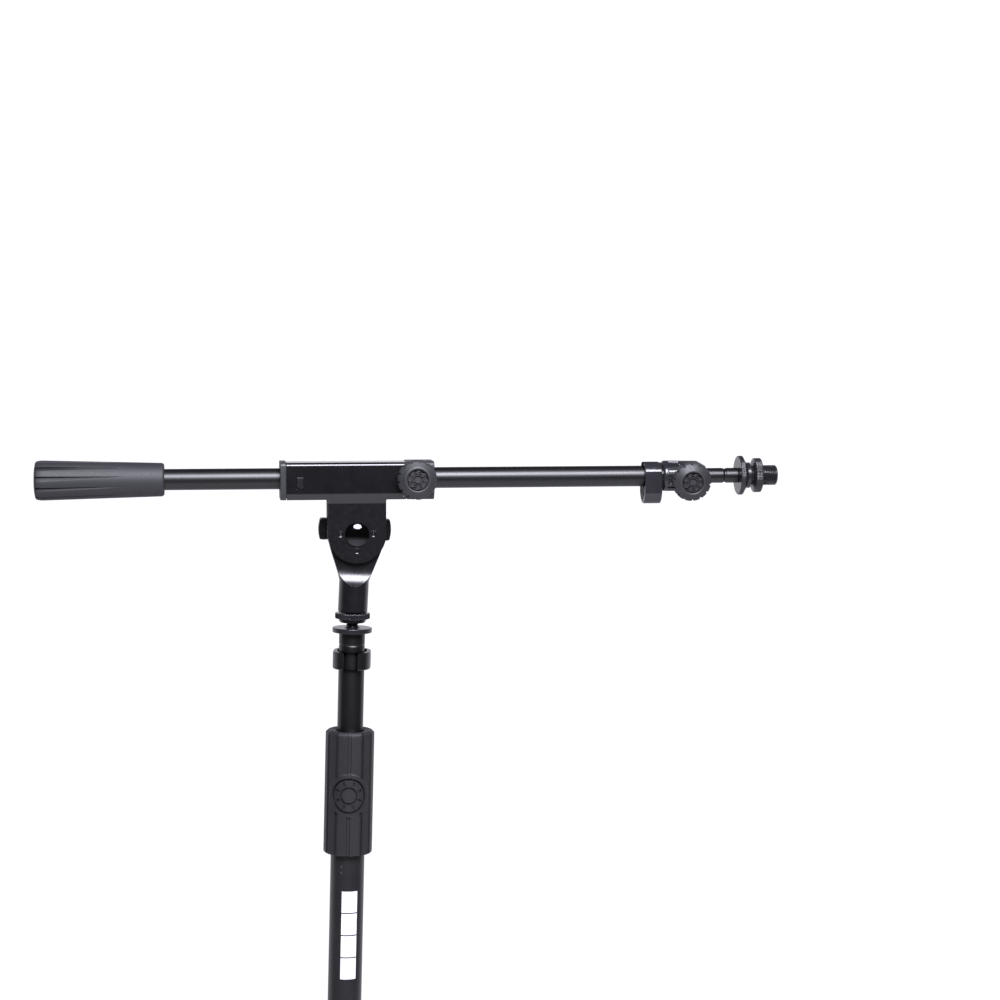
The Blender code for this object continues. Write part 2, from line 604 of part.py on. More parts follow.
def boom_tube(home):
    at = (0, 0, BOOM_HEIGHT)
    barrel = tube("boom_tube", BOOM_R - WALL, BOOM_R, BOOM_START, BOOM_END)
    place(barrel, home, at, "X", PAINTED_TUBE)
    side = frame("rod_clamp_frame", (ROD_CLAMP_X, 0, BOOM_HEIGHT), (ROD_CLAMP_TURN, 0, 0), home)
    combine(barrel, pin("boom_tube_side_hole", 4.0, 4, 12), side, "DIFFERENCE", along="-Y")
    handle = [(0, HANDLE_START), (9, HANDLE_START + 0.8), (HANDLE_BIG_R - 1.2, HANDLE_START + 2)]
    handle += [(HANDLE_BIG_R, HANDLE_START + 4), (HANDLE_SMALL_R, HANDLE_END - 2)]
    handle += [(HANDLE_SMALL_R - 1.5, HANDLE_END), (BOOM_R + GAP, HANDLE_END)]
    handle += [(BOOM_R + GAP, BOOM_START - GAP), (0, BOOM_START - GAP)]
    place(turned("boom_handle", handle), home, at, "X", RUBBER)
    return side


def rod_clutch(home, side):
    """The collar on the boom tube's end that clamps the telescoping rod."""
    at = (0, 0, BOOM_HEIGHT)
    bore, nose = BOOM_R + GAP, ROD_R + GAP
    collar = [(COLLAR_R, COLLAR_END - 6), (COLLAR_R, COLLAR_START + 1), (COLLAR_R - 1, COLLAR_START)]
    collar += [(bore, COLLAR_START), (bore, BOOM_END + GAP), (nose, BOOM_END + GAP)]
    collar += [(nose, COLLAR_END), (COLLAR_R - 3, COLLAR_END)]
    body = place(turned("rod_clutch_collar", collar), home, at, "X", BLACK_PLASTIC)
    combine(body, pin("collar_boss", 9.0, 8.6, 15.4), side, "UNION", along="-Y")
    combine(body, tube_bore(), home, "DIFFERENCE", at, "X")
    combine(body, pin("collar_insert_hole", 5.3, 9.6, 30), side, "DIFFERENCE", along="-Y")
    combine(body, pin("collar_pad_hole", 4.0, 5, 12), side, "DIFFERENCE", along="-Y")
    bush = tube("rod_clutch_bush", ROD_R + GAP, BOOM_R - WALL - GAP, COLLAR_START - 15, 248, 24)
    place(bush, home, at, "X", PALE_NYLON)


def tube_bore():
    """What the boom tube takes out of the collar's boss."""
    return pin("collar_tube_bore", BOOM_R + GAP, COLLAR_START - 5, BOOM_END + GAP, TUBE_STEPS)


def boom_clip(home):
    outline = clip_outline(BOOM_R, 3.4, 9.5)
    clip = plate("boom_cable_clip", [outline], -CLIP_WIDTH / 2, CLIP_WIDTH / 2)
    place(clip, home, (BOOM_CLIP_X, 0, BOOM_HEIGHT), "X", BLACK_PLASTIC)


def boom_rod(home):
    at = (0, 0, BOOM_HEIGHT)
    inner = ROD_R - WALL
    rod = tube("boom_rod", inner, ROD_R, ROD_START, MIC_FLANGE_X - GAP)
    place(rod, home, at, "X", PAINTED_TUBE)
    guide = BOOM_R - WALL - GAP
    bush = [(guide, ROD_START + 14), (guide, ROD_START - 2), (3.5, ROD_START - 2)]
    bush += [(3.5, ROD_START - GAP), (ROD_R + GAP, ROD_START - GAP), (ROD_R + GAP, ROD_START + 14)]
    place(turned("rod_guide_bush", bush, 24), home, at, "X", PALE_NYLON)
    stud = [(0, MIC_STUD_END), (MIC_STUD_R - 1, MIC_STUD_END), (MIC_STUD_R, MIC_STUD_END - 1)]
    stud += [(MIC_STUD_R, MIC_FLANGE_X + 7), (10.0, MIC_FLANGE_X + 7), (10.0, MIC_FLANGE_X + 3.4)]
    stud += [(FLANGE_R, MIC_FLANGE_X + 3.4), (FLANGE_R, MIC_FLANGE_X), (inner - GAP, MIC_FLANGE_X)]
    stud += [(inner - GAP, MIC_FLANGE_X - 22), (0, MIC_FLANGE_X - 22)]
    place(turned("mic_stud", stud), home, at, "X", BLACK_CHROME)
    hole = MIC_STUD_R + GAP
    ring = [(hole, MIC_RING_X), (RING_R - 1, MIC_RING_X), (RING_R, MIC_RING_X + 1)]
    ring += [(RING_R, MIC_RING_END - 0.6), (RING_R - 0.6, MIC_RING_END), (hole, MIC_RING_END)]
    place(turned("mic_lock_ring", ring), home, at, "X", BLACK_CHROME)


def main():
    hub_body()
    hub_fittings()
    legs()
    outer_tube()
    clutch()
    inner_tube()
    mast_top()
    mast_clip()
    pivot = frame("pivot_frame", (PIVOT_X, 0, PIVOT_Z), (0, STALK_LEAN, 0))
    stalk(pivot)
    stalk_fittings(pivot)
    boom = frame("boom_frame", (PIVOT_X, 0, PIVOT_Z), (0, -BOOM_TILT, 0))
    pivot_hardware(boom)
    head_steel(boom)
    head_caps(boom)
    clamp("boom_clamp", boom, (CLAMP_X, 0, BOOM_HEIGHT), BOOM_R, 11.0, 18.2)
    side = boom_tube(boom)
    rod_clutch(boom, side)
    clamp("rod_clamp", side, (0, 0, 0), ROD_R, 9.9, 16.2)
    boom_clip(boom)
    boom_rod(boom)


main()
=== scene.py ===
"""The looks of the boom microphone stand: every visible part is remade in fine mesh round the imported
frame, with procedural materials, a white studio and a camera at the height of the boom.

Lengths are in millimetres and angles in degrees until a mesh is made, where MM turns them into
metres. The frame is the CAD's: +Z up, +X along the boom, and the knobs on the -Y side.
"""

import json
import math

import bmesh
import bpy
from mathutils import Matrix, Vector


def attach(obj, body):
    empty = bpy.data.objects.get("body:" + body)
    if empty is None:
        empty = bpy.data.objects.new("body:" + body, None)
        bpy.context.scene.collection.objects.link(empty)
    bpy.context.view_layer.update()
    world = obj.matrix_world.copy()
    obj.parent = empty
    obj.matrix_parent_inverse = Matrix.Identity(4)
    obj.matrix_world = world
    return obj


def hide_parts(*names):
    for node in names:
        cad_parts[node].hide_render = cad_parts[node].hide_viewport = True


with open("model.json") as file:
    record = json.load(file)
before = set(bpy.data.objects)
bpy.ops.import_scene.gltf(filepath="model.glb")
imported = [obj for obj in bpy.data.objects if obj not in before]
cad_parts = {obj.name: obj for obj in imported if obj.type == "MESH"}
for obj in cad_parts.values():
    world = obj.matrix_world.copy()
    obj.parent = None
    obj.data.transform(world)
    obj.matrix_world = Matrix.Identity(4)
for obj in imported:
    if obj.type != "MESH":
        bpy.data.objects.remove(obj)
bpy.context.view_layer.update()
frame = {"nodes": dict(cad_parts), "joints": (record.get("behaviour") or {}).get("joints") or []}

MM = 0.001
GAP = 0.3
WALL = 1.2
JOINTS = {joint["name"]: joint for joint in frame["joints"]}

# --- places, from the frame
PIVOT = Vector(JOINTS["boom_tilt"]["pos_m"]) / MM
BOOM_DIRECTION = Vector(JOINTS["boom_slide"]["axis"]).normalized()
BOOM_TILT = math.degrees(math.asin(BOOM_DIRECTION.z))
LEG_HINGES = [JOINTS[f"leg_fold_{number}"] for number in (1, 2, 3)]

# --- tripod base
LEG_R = 8.0
LEG_SLOPE = 11.45
LEG_START = 14.5
LEG_END = 293.0
HINGE_RADIUS = 36.0
HINGE_Z = 66.0
HUB_R = 24.0
HUB_BOTTOM = 40.0
HUB_TOP = 88.0
SLOT_HALF = 4.9
FOOT_R = 12.6

# --- mast
OUTER_R = 13.0
INNER_R = 9.9
OUTER_BOTTOM = 46.3
OUTER_TOP = 712.0
INNER_BOTTOM = 110.0
GRIP_BOTTOM = 659.3
GRIP_TOP = 754.3
GRIP_R = 18.9
GRIP_FLUTES = 12
GRIP_STEPS = 720
GRIP_TURN = -94.0
CHANNEL_HALF = 1.35
CHANNEL_DEPTH = 1.2
MEDAL_Z = PIVOT.z - 199.0
MEDAL_R = 13.5
MEDAL_RIM = 16.3
FLANGE_TOP = PIVOT.z - 71.7
FLANGE_THICK = 4.0
FLANGE_R = 15.1
STUD_R = 4.7
RING_R = 13.3
MAST_CLIP_Z = PIVOT.z - 97.0
MAST_CLIP_TURN = 173.0
CLIP_WIDTH = 13.4
CLIP_MOUTH_HALF = 5.3
PUNCH_TURN = 247.5
PRINT_BLOCKS = 4
PRINT_TOP = GRIP_BOTTOM - 28.3
PRINT_STEP = 17.3
PRINT_GAP = 0.9
PRINT_TURNS = (-110.5, -56.0)

# --- tilting head, from the pivot
STALK_BOTTOM = -60.3
STALK_R = 11.3
STALK_LEAN = 1.5
TONGUE_HALF = 5.5
TONGUE_R = 22.0
PLATE = 2.2
FORK_INNER = 7.3
FORK_OUTER = FORK_INNER + PLATE
FORK_R = 22.1
BOLT_R = 4.0
DIMPLE_R = 2.5
DIMPLES = [(-12.4, 0.3), (12.4, 0.3), (0, -12.4)]
WING_REACH = 29.3
WING_TURN = -1.6
DOME_R = 9.1
DOME_HEIGHT = 2.9

# --- boom, along its own axis and measured from the pivot
BOOM_HEIGHT = 42.0
BOOM_R = 8.0
ROD_R = 5.8
BOOM_START = -227.7
BOOM_END = 260.5
HANDLE_START = -240.2
HANDLE_END = -144.1
HANDLE_BIG_R = 15.0
HANDLE_SMALL_R = 12.6
HANDLE_FLUTES = 11
HANDLE_TURN = 166.4
HANDLE_FLUTE_LENGTH = 66.0
HEAD_HALF = 13.5
HEAD_TOP = 12.7
HEAD_BOTTOM = -15.6
HEAD_CORNER = 3.5
BEND_Z = -10.9
CHEEK_Z = -18.5
HEAD_START = -57.8
STEEL_START = -53.0
STEEL_END = 37.0
HEAD_END = 58.5
LATCH_X = -42.9
LATCH_Z = -2.6
CLAMP_X = 44.3
COLLAR_START = 235.9
COLLAR_END = 270.5
COLLAR_R = 11.9
COLLAR_POCKETS = 16
ROD_CLAMP_X = 255.3
ROD_CLAMP_TURN = 8.0
BOOM_CLIP_X = 228.1
ROD_START = -165.0
ROD_CRIMP_X = 285.7
MIC_FLANGE_X = 296.3
MIC_STUD_R = 7.9
MIC_STUD_END = 326.8
MIC_RING_X = 307.8
MIC_RING_END = 314.1
PITCH_58 = 25.4 / 27
PITCH_38 = 25.4 / 16

# --- camera: degrees round the mast, metres, and yaw, pitch and roll
CAMERA_SIDE = 4.0
CAMERA_DISTANCE = 1.7
CAMERA_HEIGHT = 1.06
CAMERA_LENS = 80.6
CAMERA_TURNS = (7.718, -4.276, 1.469)

# --- knobs
KNOB_R = 15.0
KNOB_NOTCHES = 14
SLIDE_KNOB_BASE = 18.2
SLIDE_KNOB_TURN = 7.0
ROD_KNOB_BASE = 16.2
ROD_KNOB_TURN = -9.0

# --- light: metres and watts
LAMP_PLACE = (0.12, -1.226, 1.98)
LAMP_AIM = (0.05, 0, 0.95)
LAMP_SIZE = (1.25, 0.8)
LAMP_POWER = 85.0
LAMP_COLOUR = (0.89, 0.90, 1.0)
ROOM_COLOUR = (0.94, 0.945, 1, 1)
ROOM_SEEN = 1.13
FLOOR_R = 1.4

TURN = {  # where each piece's own X, Y and Z go
    "Z": Matrix.Identity(4),
    "X": Matrix(((0, 0, 1), (1, 0, 0), (0, 1, 0))).to_4x4(),
    "-Y": Matrix(((1, 0, 0), (0, 0, -1), (0, 1, 0))).to_4x4(),
}


# --- outlines


def off_middle(angle, count):
    """How far an angle is from the middle of its own one of count equal parts of a turn."""
    spread = 2 * math.pi / count
    return (angle + spread / 2) % spread - spread / 2


def arc(centre, radius, start, end, count):
    """Points on a circle from one angle to another."""
    turns = [math.radians(start + (end - start) * i / (count - 1)) for i in range(count)]
    return [(centre[0] + radius * math.cos(t), centre[1] + radius * math.sin(t)) for t in turns]


def circle(centre, radius, count=64):
    return arc(centre, radius, 0, 360 - 360 / count, count)


def rounded(points, closed=True, count=5):
    """Rounds each corner whose point carries a third number, the length cut off along its sides."""
    out = []
    for i, point in enumerate(points):
        cut = point[2] if len(point) > 2 else 0
        if not cut or (not closed and i in (0, len(points) - 1)):
            out.append((point[0], point[1]))
            continue
        here = Vector(point[:2])
        before = Vector(points[i - 1][:2])
        after = Vector(points[(i + 1) % len(points)][:2])
        first = here + (before - here).normalized() * cut
        last = here + (after - here).normalized() * cut
        for j in range(count + 1):
            t = j / count
            spot = first * (1 - t) ** 2 + here * 2 * t * (1 - t) + last * t * t
            out.append((spot.x, spot.y))
    return out


def finer(points, step, closed=True):
    """Adds points so that no side is longer than step."""
    out = []
    pairs = zip(points, points[1:] + points[:1])
    for a, b in list(pairs)[: len(points) if closed else len(points) - 1]:
        count = max(1, math.ceil(math.dist(a, b) / step))
        out += [(a[0] + (b[0] - a[0]) * i / count, a[1] + (b[1] - a[1]) * i / count) for i in range(count)]
    return out if closed else out + [points[-1]]


# --- meshes


def about_z(degrees):
    return Matrix.Rotation(math.radians(degrees), 4, "Z")


def added(name, data):
    """A new object in the scene."""
    obj = bpy.data.objects.new(name, data)
    bpy.context.scene.collection.objects.link(obj)
    return obj


def in_metres(name, shape):
    """A flat-shaded mesh in metres from a bmesh in millimetres."""
    bmesh.ops.recalc_face_normals(shape, faces=shape.faces)
    bmesh.ops.scale(shape, vec=(MM, MM, MM), verts=shape.verts)
    mesh = bpy.data.meshes.new(name)
    shape.to_mesh(mesh)
    shape.free()
    return mesh


def smoothed(mesh, angle):
    """The mesh, shaded smooth except at corners sharper than an angle."""
    mesh.shade_smooth()
    mesh.set_sharp_from_angle(angle=math.radians(angle))
    return mesh


def to_mesh(name, shape, smooth=38):
    """A mesh in metres, smooth except at its corners, from a bmesh in millimetres."""
    return smoothed(in_metres(name, shape), smooth)


def lathe(name, profile, steps=96, relief=None, smooth=38):
    """Turns a profile of (radius, height) points about Z. A profile that touches the axis at both
    ends is a solid, and any other is a ring. relief moves each point from its radius, height and
    angle to its own."""
    solid = profile[0][0] < 1e-6 and profile[-1][0] < 1e-6
    shape = bmesh.new()
    rows = []
    for radius, height in profile:
        if radius < 1e-6:
            rows.append([shape.verts.new((0, 0, height))])
            continue
        row = []
        for i in range(steps):
            angle = 2 * math.pi * i / steps
            r, z = relief(radius, height, angle) if relief else (radius, height)
            row.append(shape.verts.new((r * math.cos(angle), r * math.sin(angle), z)))
        rows.append(row)
    pairs = list(zip(rows, rows[1:]))
    if not solid:
        pairs.append((rows[-1], rows[0]))
    for upper, lower in pairs:
        for i in range(steps):
            j = (i + 1) % steps
            corners = []
            for row, k in ((upper, i), (upper, j), (lower, j), (lower, i)):
                vert = row[k % len(row)]
                if vert not in corners:
                    corners.append(vert)
            if len(corners) > 2:
                shape.faces.new(corners)
    return to_mesh(name, shape, smooth)


def outline_faces(name, loops):
    """A flat mesh, in millimetres, filling an outline with holes after it."""
    curve = bpy.data.curves.new(name, "CURVE")
    curve.dimensions = "2D"
    curve.fill_mode = "BOTH"
    for loop in loops:
        spline = curve.splines.new("POLY")
        spline.points.add(len(loop) - 1)
        for point, (u, v) in zip(spline.points, loop):
            point.co = (u, v, 0, 1)
        spline.use_cyclic_u = True
    mesh = applied(added(name, curve))
    shape = bmesh.new()
    shape.from_mesh(mesh)
    bmesh.ops.remove_doubles(shape, verts=shape.verts, dist=0.0001)
    bpy.data.meshes.remove(mesh)
    return shape


def slab(name, loops, low, high, edge=0.4):
    """A flat outline between two heights along Z, with its rims rounded."""
    shape = outline_faces(name, loops)
    bmesh.ops.dissolve_limit(
        shape, angle_limit=0.01, verts=shape.verts, edges=shape.edges, delimit={"NORMAL"}
    )
    bmesh.ops.translate(shape, verts=shape.verts, vec=(0, 0, low))
    made = bmesh.ops.extrude_face_region(shape, geom=shape.faces[:])
    top = [item for item in made["geom"] if isinstance(item, bmesh.types.BMVert)]
    bmesh.ops.translate(shape, verts=top, vec=(0, 0, high - low))
    bmesh.ops.recalc_face_normals(shape, faces=shape.faces)
    if edge:
        rims = [e for e in shape.edges if len(e.link_faces) == 2 and e.calc_face_angle() > 0.9]
        rims = [e for e in rims if abs(e.verts[0].co.z - e.verts[1].co.z) < 1e-6]
        bmesh.ops.bevel(shape, geom=rims, offset=edge, segments=3, profile=0.5, affect="EDGES")
    return to_mesh(name, shape, 30)


def thread(place, radius, pitch, depth, low, high):
    """Cuts a thread into the points at one radius, between two heights. place is (r, z, angle)."""
    r, z, angle = place
    if abs(r - radius) > 0.01 or not low <= z <= high:
        return r, z
    turn = (z / pitch + angle / (2 * math.pi)) % 1
    fade = min(1, (z - low) / pitch, (high - z) / pitch)
    return r - depth * fade * abs(2 * turn - 1), z


def applied(main, helpers=()):
    """The mesh that an object's modifiers give. The object and its helpers are removed."""
    bpy.context.view_layer.update()
    graph = bpy.context.evaluated_depsgraph_get()
    mesh = bpy.data.meshes.new_from_object(main.evaluated_get(graph))
    for obj in (main, *helpers):
        bpy.data.objects.remove(obj)
    return mesh


def modified(mesh, steps, helpers=()):
    """The mesh after some modifiers, each given as its kind and its values."""
    main = added("work", mesh)
    for kind, values in steps:
        modifier = main.modifiers.new(kind.lower(), kind)
        for key, value in values.items():
            setattr(modifier, key, value)
    return applied(main, helpers)


def boolean(mesh, others, operation):
    """Joins or cuts meshes, and gives the result as a new mesh."""
    helpers = [added("helper", other) for other in others]
    values = [{"operation": operation, "solver": "EXACT", "object": helper} for helper in helpers]
    return modified(mesh, [("BOOLEAN", value) for value in values], helpers)


def softened(mesh, width, angle=35, segments=3):
    """Rounds every corner of a mesh that is sharper than an angle."""
    values = {"width": width * MM, "segments": segments, "use_clamp_overlap": True}
    limits = {"limit_method": "ANGLE", "angle_limit": math.radians(angle)}
    return smoothed(modified(mesh, [("BEVEL", values | limits)]), 40)


def cast(mesh, voxel, rounds):
    """Melts a mesh's corners into fillets, as in a casting."""
    voxels = {"mode": "VOXEL", "voxel_size": voxel * MM, "adaptivity": 0}
    out = modified(mesh, [("REMESH", voxels), ("SMOOTH", {"factor": 0.5, "iterations": rounds})])
    out.shade_smooth()
    return out


def moved(mesh, at=(0, 0, 0), along="Z", turn=0.0):
    """The mesh at a place in millimetres, with its Z along the named direction."""
    spot = Matrix.Translation(Vector(at) * MM)
    mesh.transform(spot @ TURN[along] @ about_z(turn))
    return mesh


def block(low, high):
    shape = bmesh.new()
    size = Matrix.Diagonal([h - l for l, h in zip(low, high)] + [1])
    middle = Matrix.Translation([(h + l) / 2 for l, h in zip(low, high)])
    bmesh.ops.create_cube(shape, size=1.0, matrix=middle @ size)
    return to_mesh("block", shape)


def rod(radius, low, high, steps=48):
    return lathe("rod", [(0, high), (radius, high), (radius, low), (0, low)], steps)


# --- materials


def ramp(tree, source, start, end, low, high, curve="LINEAR"):
    """Maps a value between start and end to one between low and high."""
    made = tree.nodes.new("ShaderNodeMapRange")
    made.interpolation_type = curve
    for name, value in zip(("From Min", "From Max", "To Min", "To Max"), (start, end, low, high)):
        made.inputs[name].default_value = value
    tree.links.new(source, made.inputs["Value"])
    return made.outputs["Result"]


class Surface:
    """A node material with object-space noise for colour, roughness and bump."""

    def __init__(self, name, colour, metallic=0.0, specular=0.5):
        self.material = bpy.data.materials.new(name)
        self.material.use_nodes = True
        self.tree = self.material.node_tree
        self.shader = self.tree.nodes["Principled BSDF"]
        self.colour = colour
        self.shader.inputs["Metallic"].default_value = metallic
        self.shader.inputs["Specular IOR Level"].default_value = specular
        self.place = self.node("ShaderNodeTexCoord").outputs["Object"]
        self.height = None

    def node(self, kind, **values):
        made = self.tree.nodes.new(kind)
        for key, value in values.items():
            if hasattr(made, key):
                setattr(made, key, value)
            else:
                made.inputs[key.replace("_", " ")].default_value = value
        return made

    def link(self, source, target):
        self.tree.links.new(source, target)

    def noise(self, scale, detail=3.0, rough=0.5, stretch=(1, 1, 1)):
        """Noise between 0 and 1, with features about 1/scale metres across."""
        mapping = self.node("ShaderNodeMapping")
        mapping.inputs["Scale"].default_value = stretch
        self.link(self.place, mapping.inputs["Vector"])
        made = self.node("ShaderNodeTexNoise", Scale=scale, Detail=detail, Roughness=rough)
        self.link(mapping.outputs["Vector"], made.inputs["Vector"])
        return made.outputs["Fac"]

    def spread(self, source, low, high, start=0.3, end=0.7):
        """Maps a noise to a range."""
        return ramp(self.tree, source, start, end, low, high)

    def vary_colour(self, scale, amount):
        mix = self.node("ShaderNodeMix", data_type="RGBA")
        lighter = [min(1, c * (1 + amount)) for c in self.colour]
        darker = [c * (1 - amount) for c in self.colour]
        mix.inputs[6].default_value = (*darker, 1)
        mix.inputs[7].default_value = (*lighter, 1)
        self.link(self.spread(self.noise(scale, 4.0, 0.6), 0, 1), mix.inputs[0])
        self.link(mix.outputs[2], self.shader.inputs["Base Color"])
        self.colour_mix = mix.outputs[2]
        return self

    def edge_wear(self, colour, amount, start=0.53, end=0.62):
        """Rubbed edges, where the surface is convex, broken up by noise."""
        worn = self.spread(self.node("ShaderNodeNewGeometry").outputs["Pointiness"], 0, amount, start, end)
        patchy = self.node("ShaderNodeMath", operation="MULTIPLY")
        self.link(worn, patchy.inputs[0])
        self.link(self.spread(self.noise(700, 4.0), 0, 1, 0.42, 0.6), patchy.inputs[1])
        mix = self.node("ShaderNodeMix", data_type="RGBA")
        self.link(patchy.outputs["Value"], mix.inputs[0])
        self.link(self.colour_mix, mix.inputs[6])
        mix.inputs[7].default_value = (*colour, 1)
        self.link(mix.outputs[2], self.shader.inputs["Base Color"])
        self.colour_mix = mix.outputs[2]
        return self

    def vary_roughness(self, scale, low, high, stretch=(1, 1, 1)):
        made = self.spread(self.noise(scale, 4.0, 0.6, stretch), low, high)
        self.link(made, self.shader.inputs["Roughness"])
        return self

    def bump(self, scale, distance, detail=2.0):
        """Adds relief of about distance millimetres, with features about 1/scale metres across."""
        made = self.node("ShaderNodeBump", Strength=1.0, Distance=distance * MM)
        self.link(self.noise(scale, detail, 0.55), made.inputs["Height"])
        if self.height:
            self.link(self.height, made.inputs["Normal"])
        self.height = made.outputs["Normal"]
        self.link(self.height, self.shader.inputs["Normal"])
        return self


ALONG = (1, 1, 0.15)  # noise drawn out along a tube
TUBE_RELIEF = [(900, 0.004), (5200, 0.002)]
RUBBED = ((0.02, 0.02, 0.022), 0.25, 0.58, 0.7)
LOOKS = {  # material, colour, noise in the colour, noise in the roughness, relief and worn edges
    "tube": ("satin_black_tube", (0.0024, 0.0023, 0.0028), (60, 0.2), (90, 0.34, 0.40, ALONG), TUBE_RELIEF),
    "mast": (
        "satin_black_mast_tube", (0.0108, 0.0102, 0.0117), (60, 0.2), (90, 0.35, 0.42, ALONG), TUBE_RELIEF,
    ),
    "gloss": (
        "gloss_black_steel", (0.0064, 0.0061, 0.0070), (80, 0.2), (120, 0.10, 0.17),
        [(650, 0.004)], RUBBED,
    ),
    "fork": (
        "satin_black_steel", (0.0062, 0.0059, 0.0070), (150, 0.15), (300, 0.19, 0.27),
        [(2500, 0.003)], RUBBED,
    ),
    "casting": (
        "gloss_black_casting", (0.0066, 0.0062, 0.0073), (90, 0.2), (110, 0.20, 0.27),
        [(420, 0.012), (3000, 0.003)], RUBBED,
    ),
    "grey": (
        "dark_grey_plastic", (0.0190, 0.0184, 0.0214), (45, 0.10), (500, 0.44, 0.58),
        [(4200, 0.015, 1.0)], ((0.05, 0.05, 0.054), 0.4),
    ),
    "soft": (
        "soft_handle_rubber", (0.0168, 0.0160, 0.0196), (30, 0.08), (700, 0.56, 0.64),
        [(2600, 0.012)], ((0.035, 0.034, 0.040), 0.35),
    ),
    "rubber": (
        "soft_rubber", (0.0098, 0.0094, 0.0112), (30, 0.12), (380, 0.50, 0.60),
        [(2600, 0.018)], ((0.035, 0.035, 0.038), 0.35),
    ),
    "black": (
        "black_plastic", (0.0050, 0.0048, 0.0057), (60, 0.15), (260, 0.24, 0.34),
        [(3200, 0.004)], ((0.025, 0.025, 0.027), 0.3),
    ),
    "glossy": (
        "gloss_black_plastic", (0.0155, 0.0150, 0.0180), (60, 0.15), (200, 0.16, 0.26), [(1500, 0.003)],
    ),
    "chrome": (
        "black_chrome", (0.0125, 0.0120, 0.0140), (200, 0.2), (500, 0.20, 0.30),
        [(1800, 0.002)], ((0.05, 0.05, 0.055), 0.35),
    ),
    "print": ("white_print", (0.78, 0.78, 0.80), (400, 0.04), (500, 0.45, 0.58), [(3000, 0.003)]),
    "dome": ("black_chrome_polished", (0.042, 0.040, 0.043), (150, 0.2), (160, 0.05, 0.10), [(400, 0.003)]),
    "zinc": ("zinc_steel", (0.55, 0.55, 0.56), (250, 0.15), (600, 0.28, 0.45), [(2500, 0.004)]),
    "brass": ("brass", (0.70, 0.53, 0.25), (250, 0.12), (600, 0.28, 0.45), [(2500, 0.004)]),
    "fibre": ("friction_fibre", (0.085, 0.075, 0.060), (900, 0.4), (900, 0.75, 0.95), [(3000, 0.03)]),
    "nylon": ("natural_nylon", (0.70, 0.68, 0.62), (120, 0.06), (400, 0.38, 0.55), [(2000, 0.005)]),
}
METALS = ("dome", "zinc", "brass")


def make_materials():
    made = {}
    for look, (name, colour, tones, gloss, reliefs, *wear) in LOOKS.items():
        surface = Surface(name, colour, metallic=float(look in METALS))
        surface.vary_colour(*tones).vary_roughness(*gloss)
        for relief in reliefs:
            surface.bump(*relief)
        for worn in wear:
            surface.edge_wear(*worn)
        made[look] = surface.material
    return made


MATERIALS = make_materials()


# --- placing


def spot(at=(0, 0, 0), turns=(0, 0, 0), home=None):
    """A frame at a place in millimetres, turned by degrees about X, then Y, then Z."""
    turned = Matrix.Identity(4)
    for axis, turn in zip("XYZ", turns):
        turned = Matrix.Rotation(math.radians(turn), 4, axis) @ turned
    here = Matrix.Translation(Vector(at) * MM) @ turned
    return home @ here if home else here


WORLD = Matrix.Identity(4)
STALK = spot(PIVOT, (0, STALK_LEAN, 0))
BOOM = spot(PIVOT, (0, -BOOM_TILT, 0))
BOOM_AXIS = spot((0, 0, BOOM_HEIGHT), (0, 0, 0), BOOM)
ROD_CLAMP = spot((ROD_CLAMP_X, 0, 0), (ROD_CLAMP_TURN, 0, 0), BOOM_AXIS)


def piece(name, mesh, home, body, look, stands_for=(), along="Z", at=(0, 0, 0), turn=0.0):
    """A visible piece of the stand: where it is, what it moves with and what it stands for."""
    obj = added(name, mesh)
    obj.matrix_world = home @ spot(at) @ TURN[along] @ about_z(turn)
    mesh.materials.clear()
    mesh.materials.append(MATERIALS[look])
    flat = obj.modifiers.new("flat_faces", "WEIGHTED_NORMAL")
    flat.keep_sharp = True
    bpy.context.view_layer.update()
    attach(obj, body)
    if stands_for:
        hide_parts(*stands_for)
    return obj


# --- tripod base


def azimuth_of(hinge):
    return math.atan2(hinge["pos_m"][1], hinge["pos_m"][0])


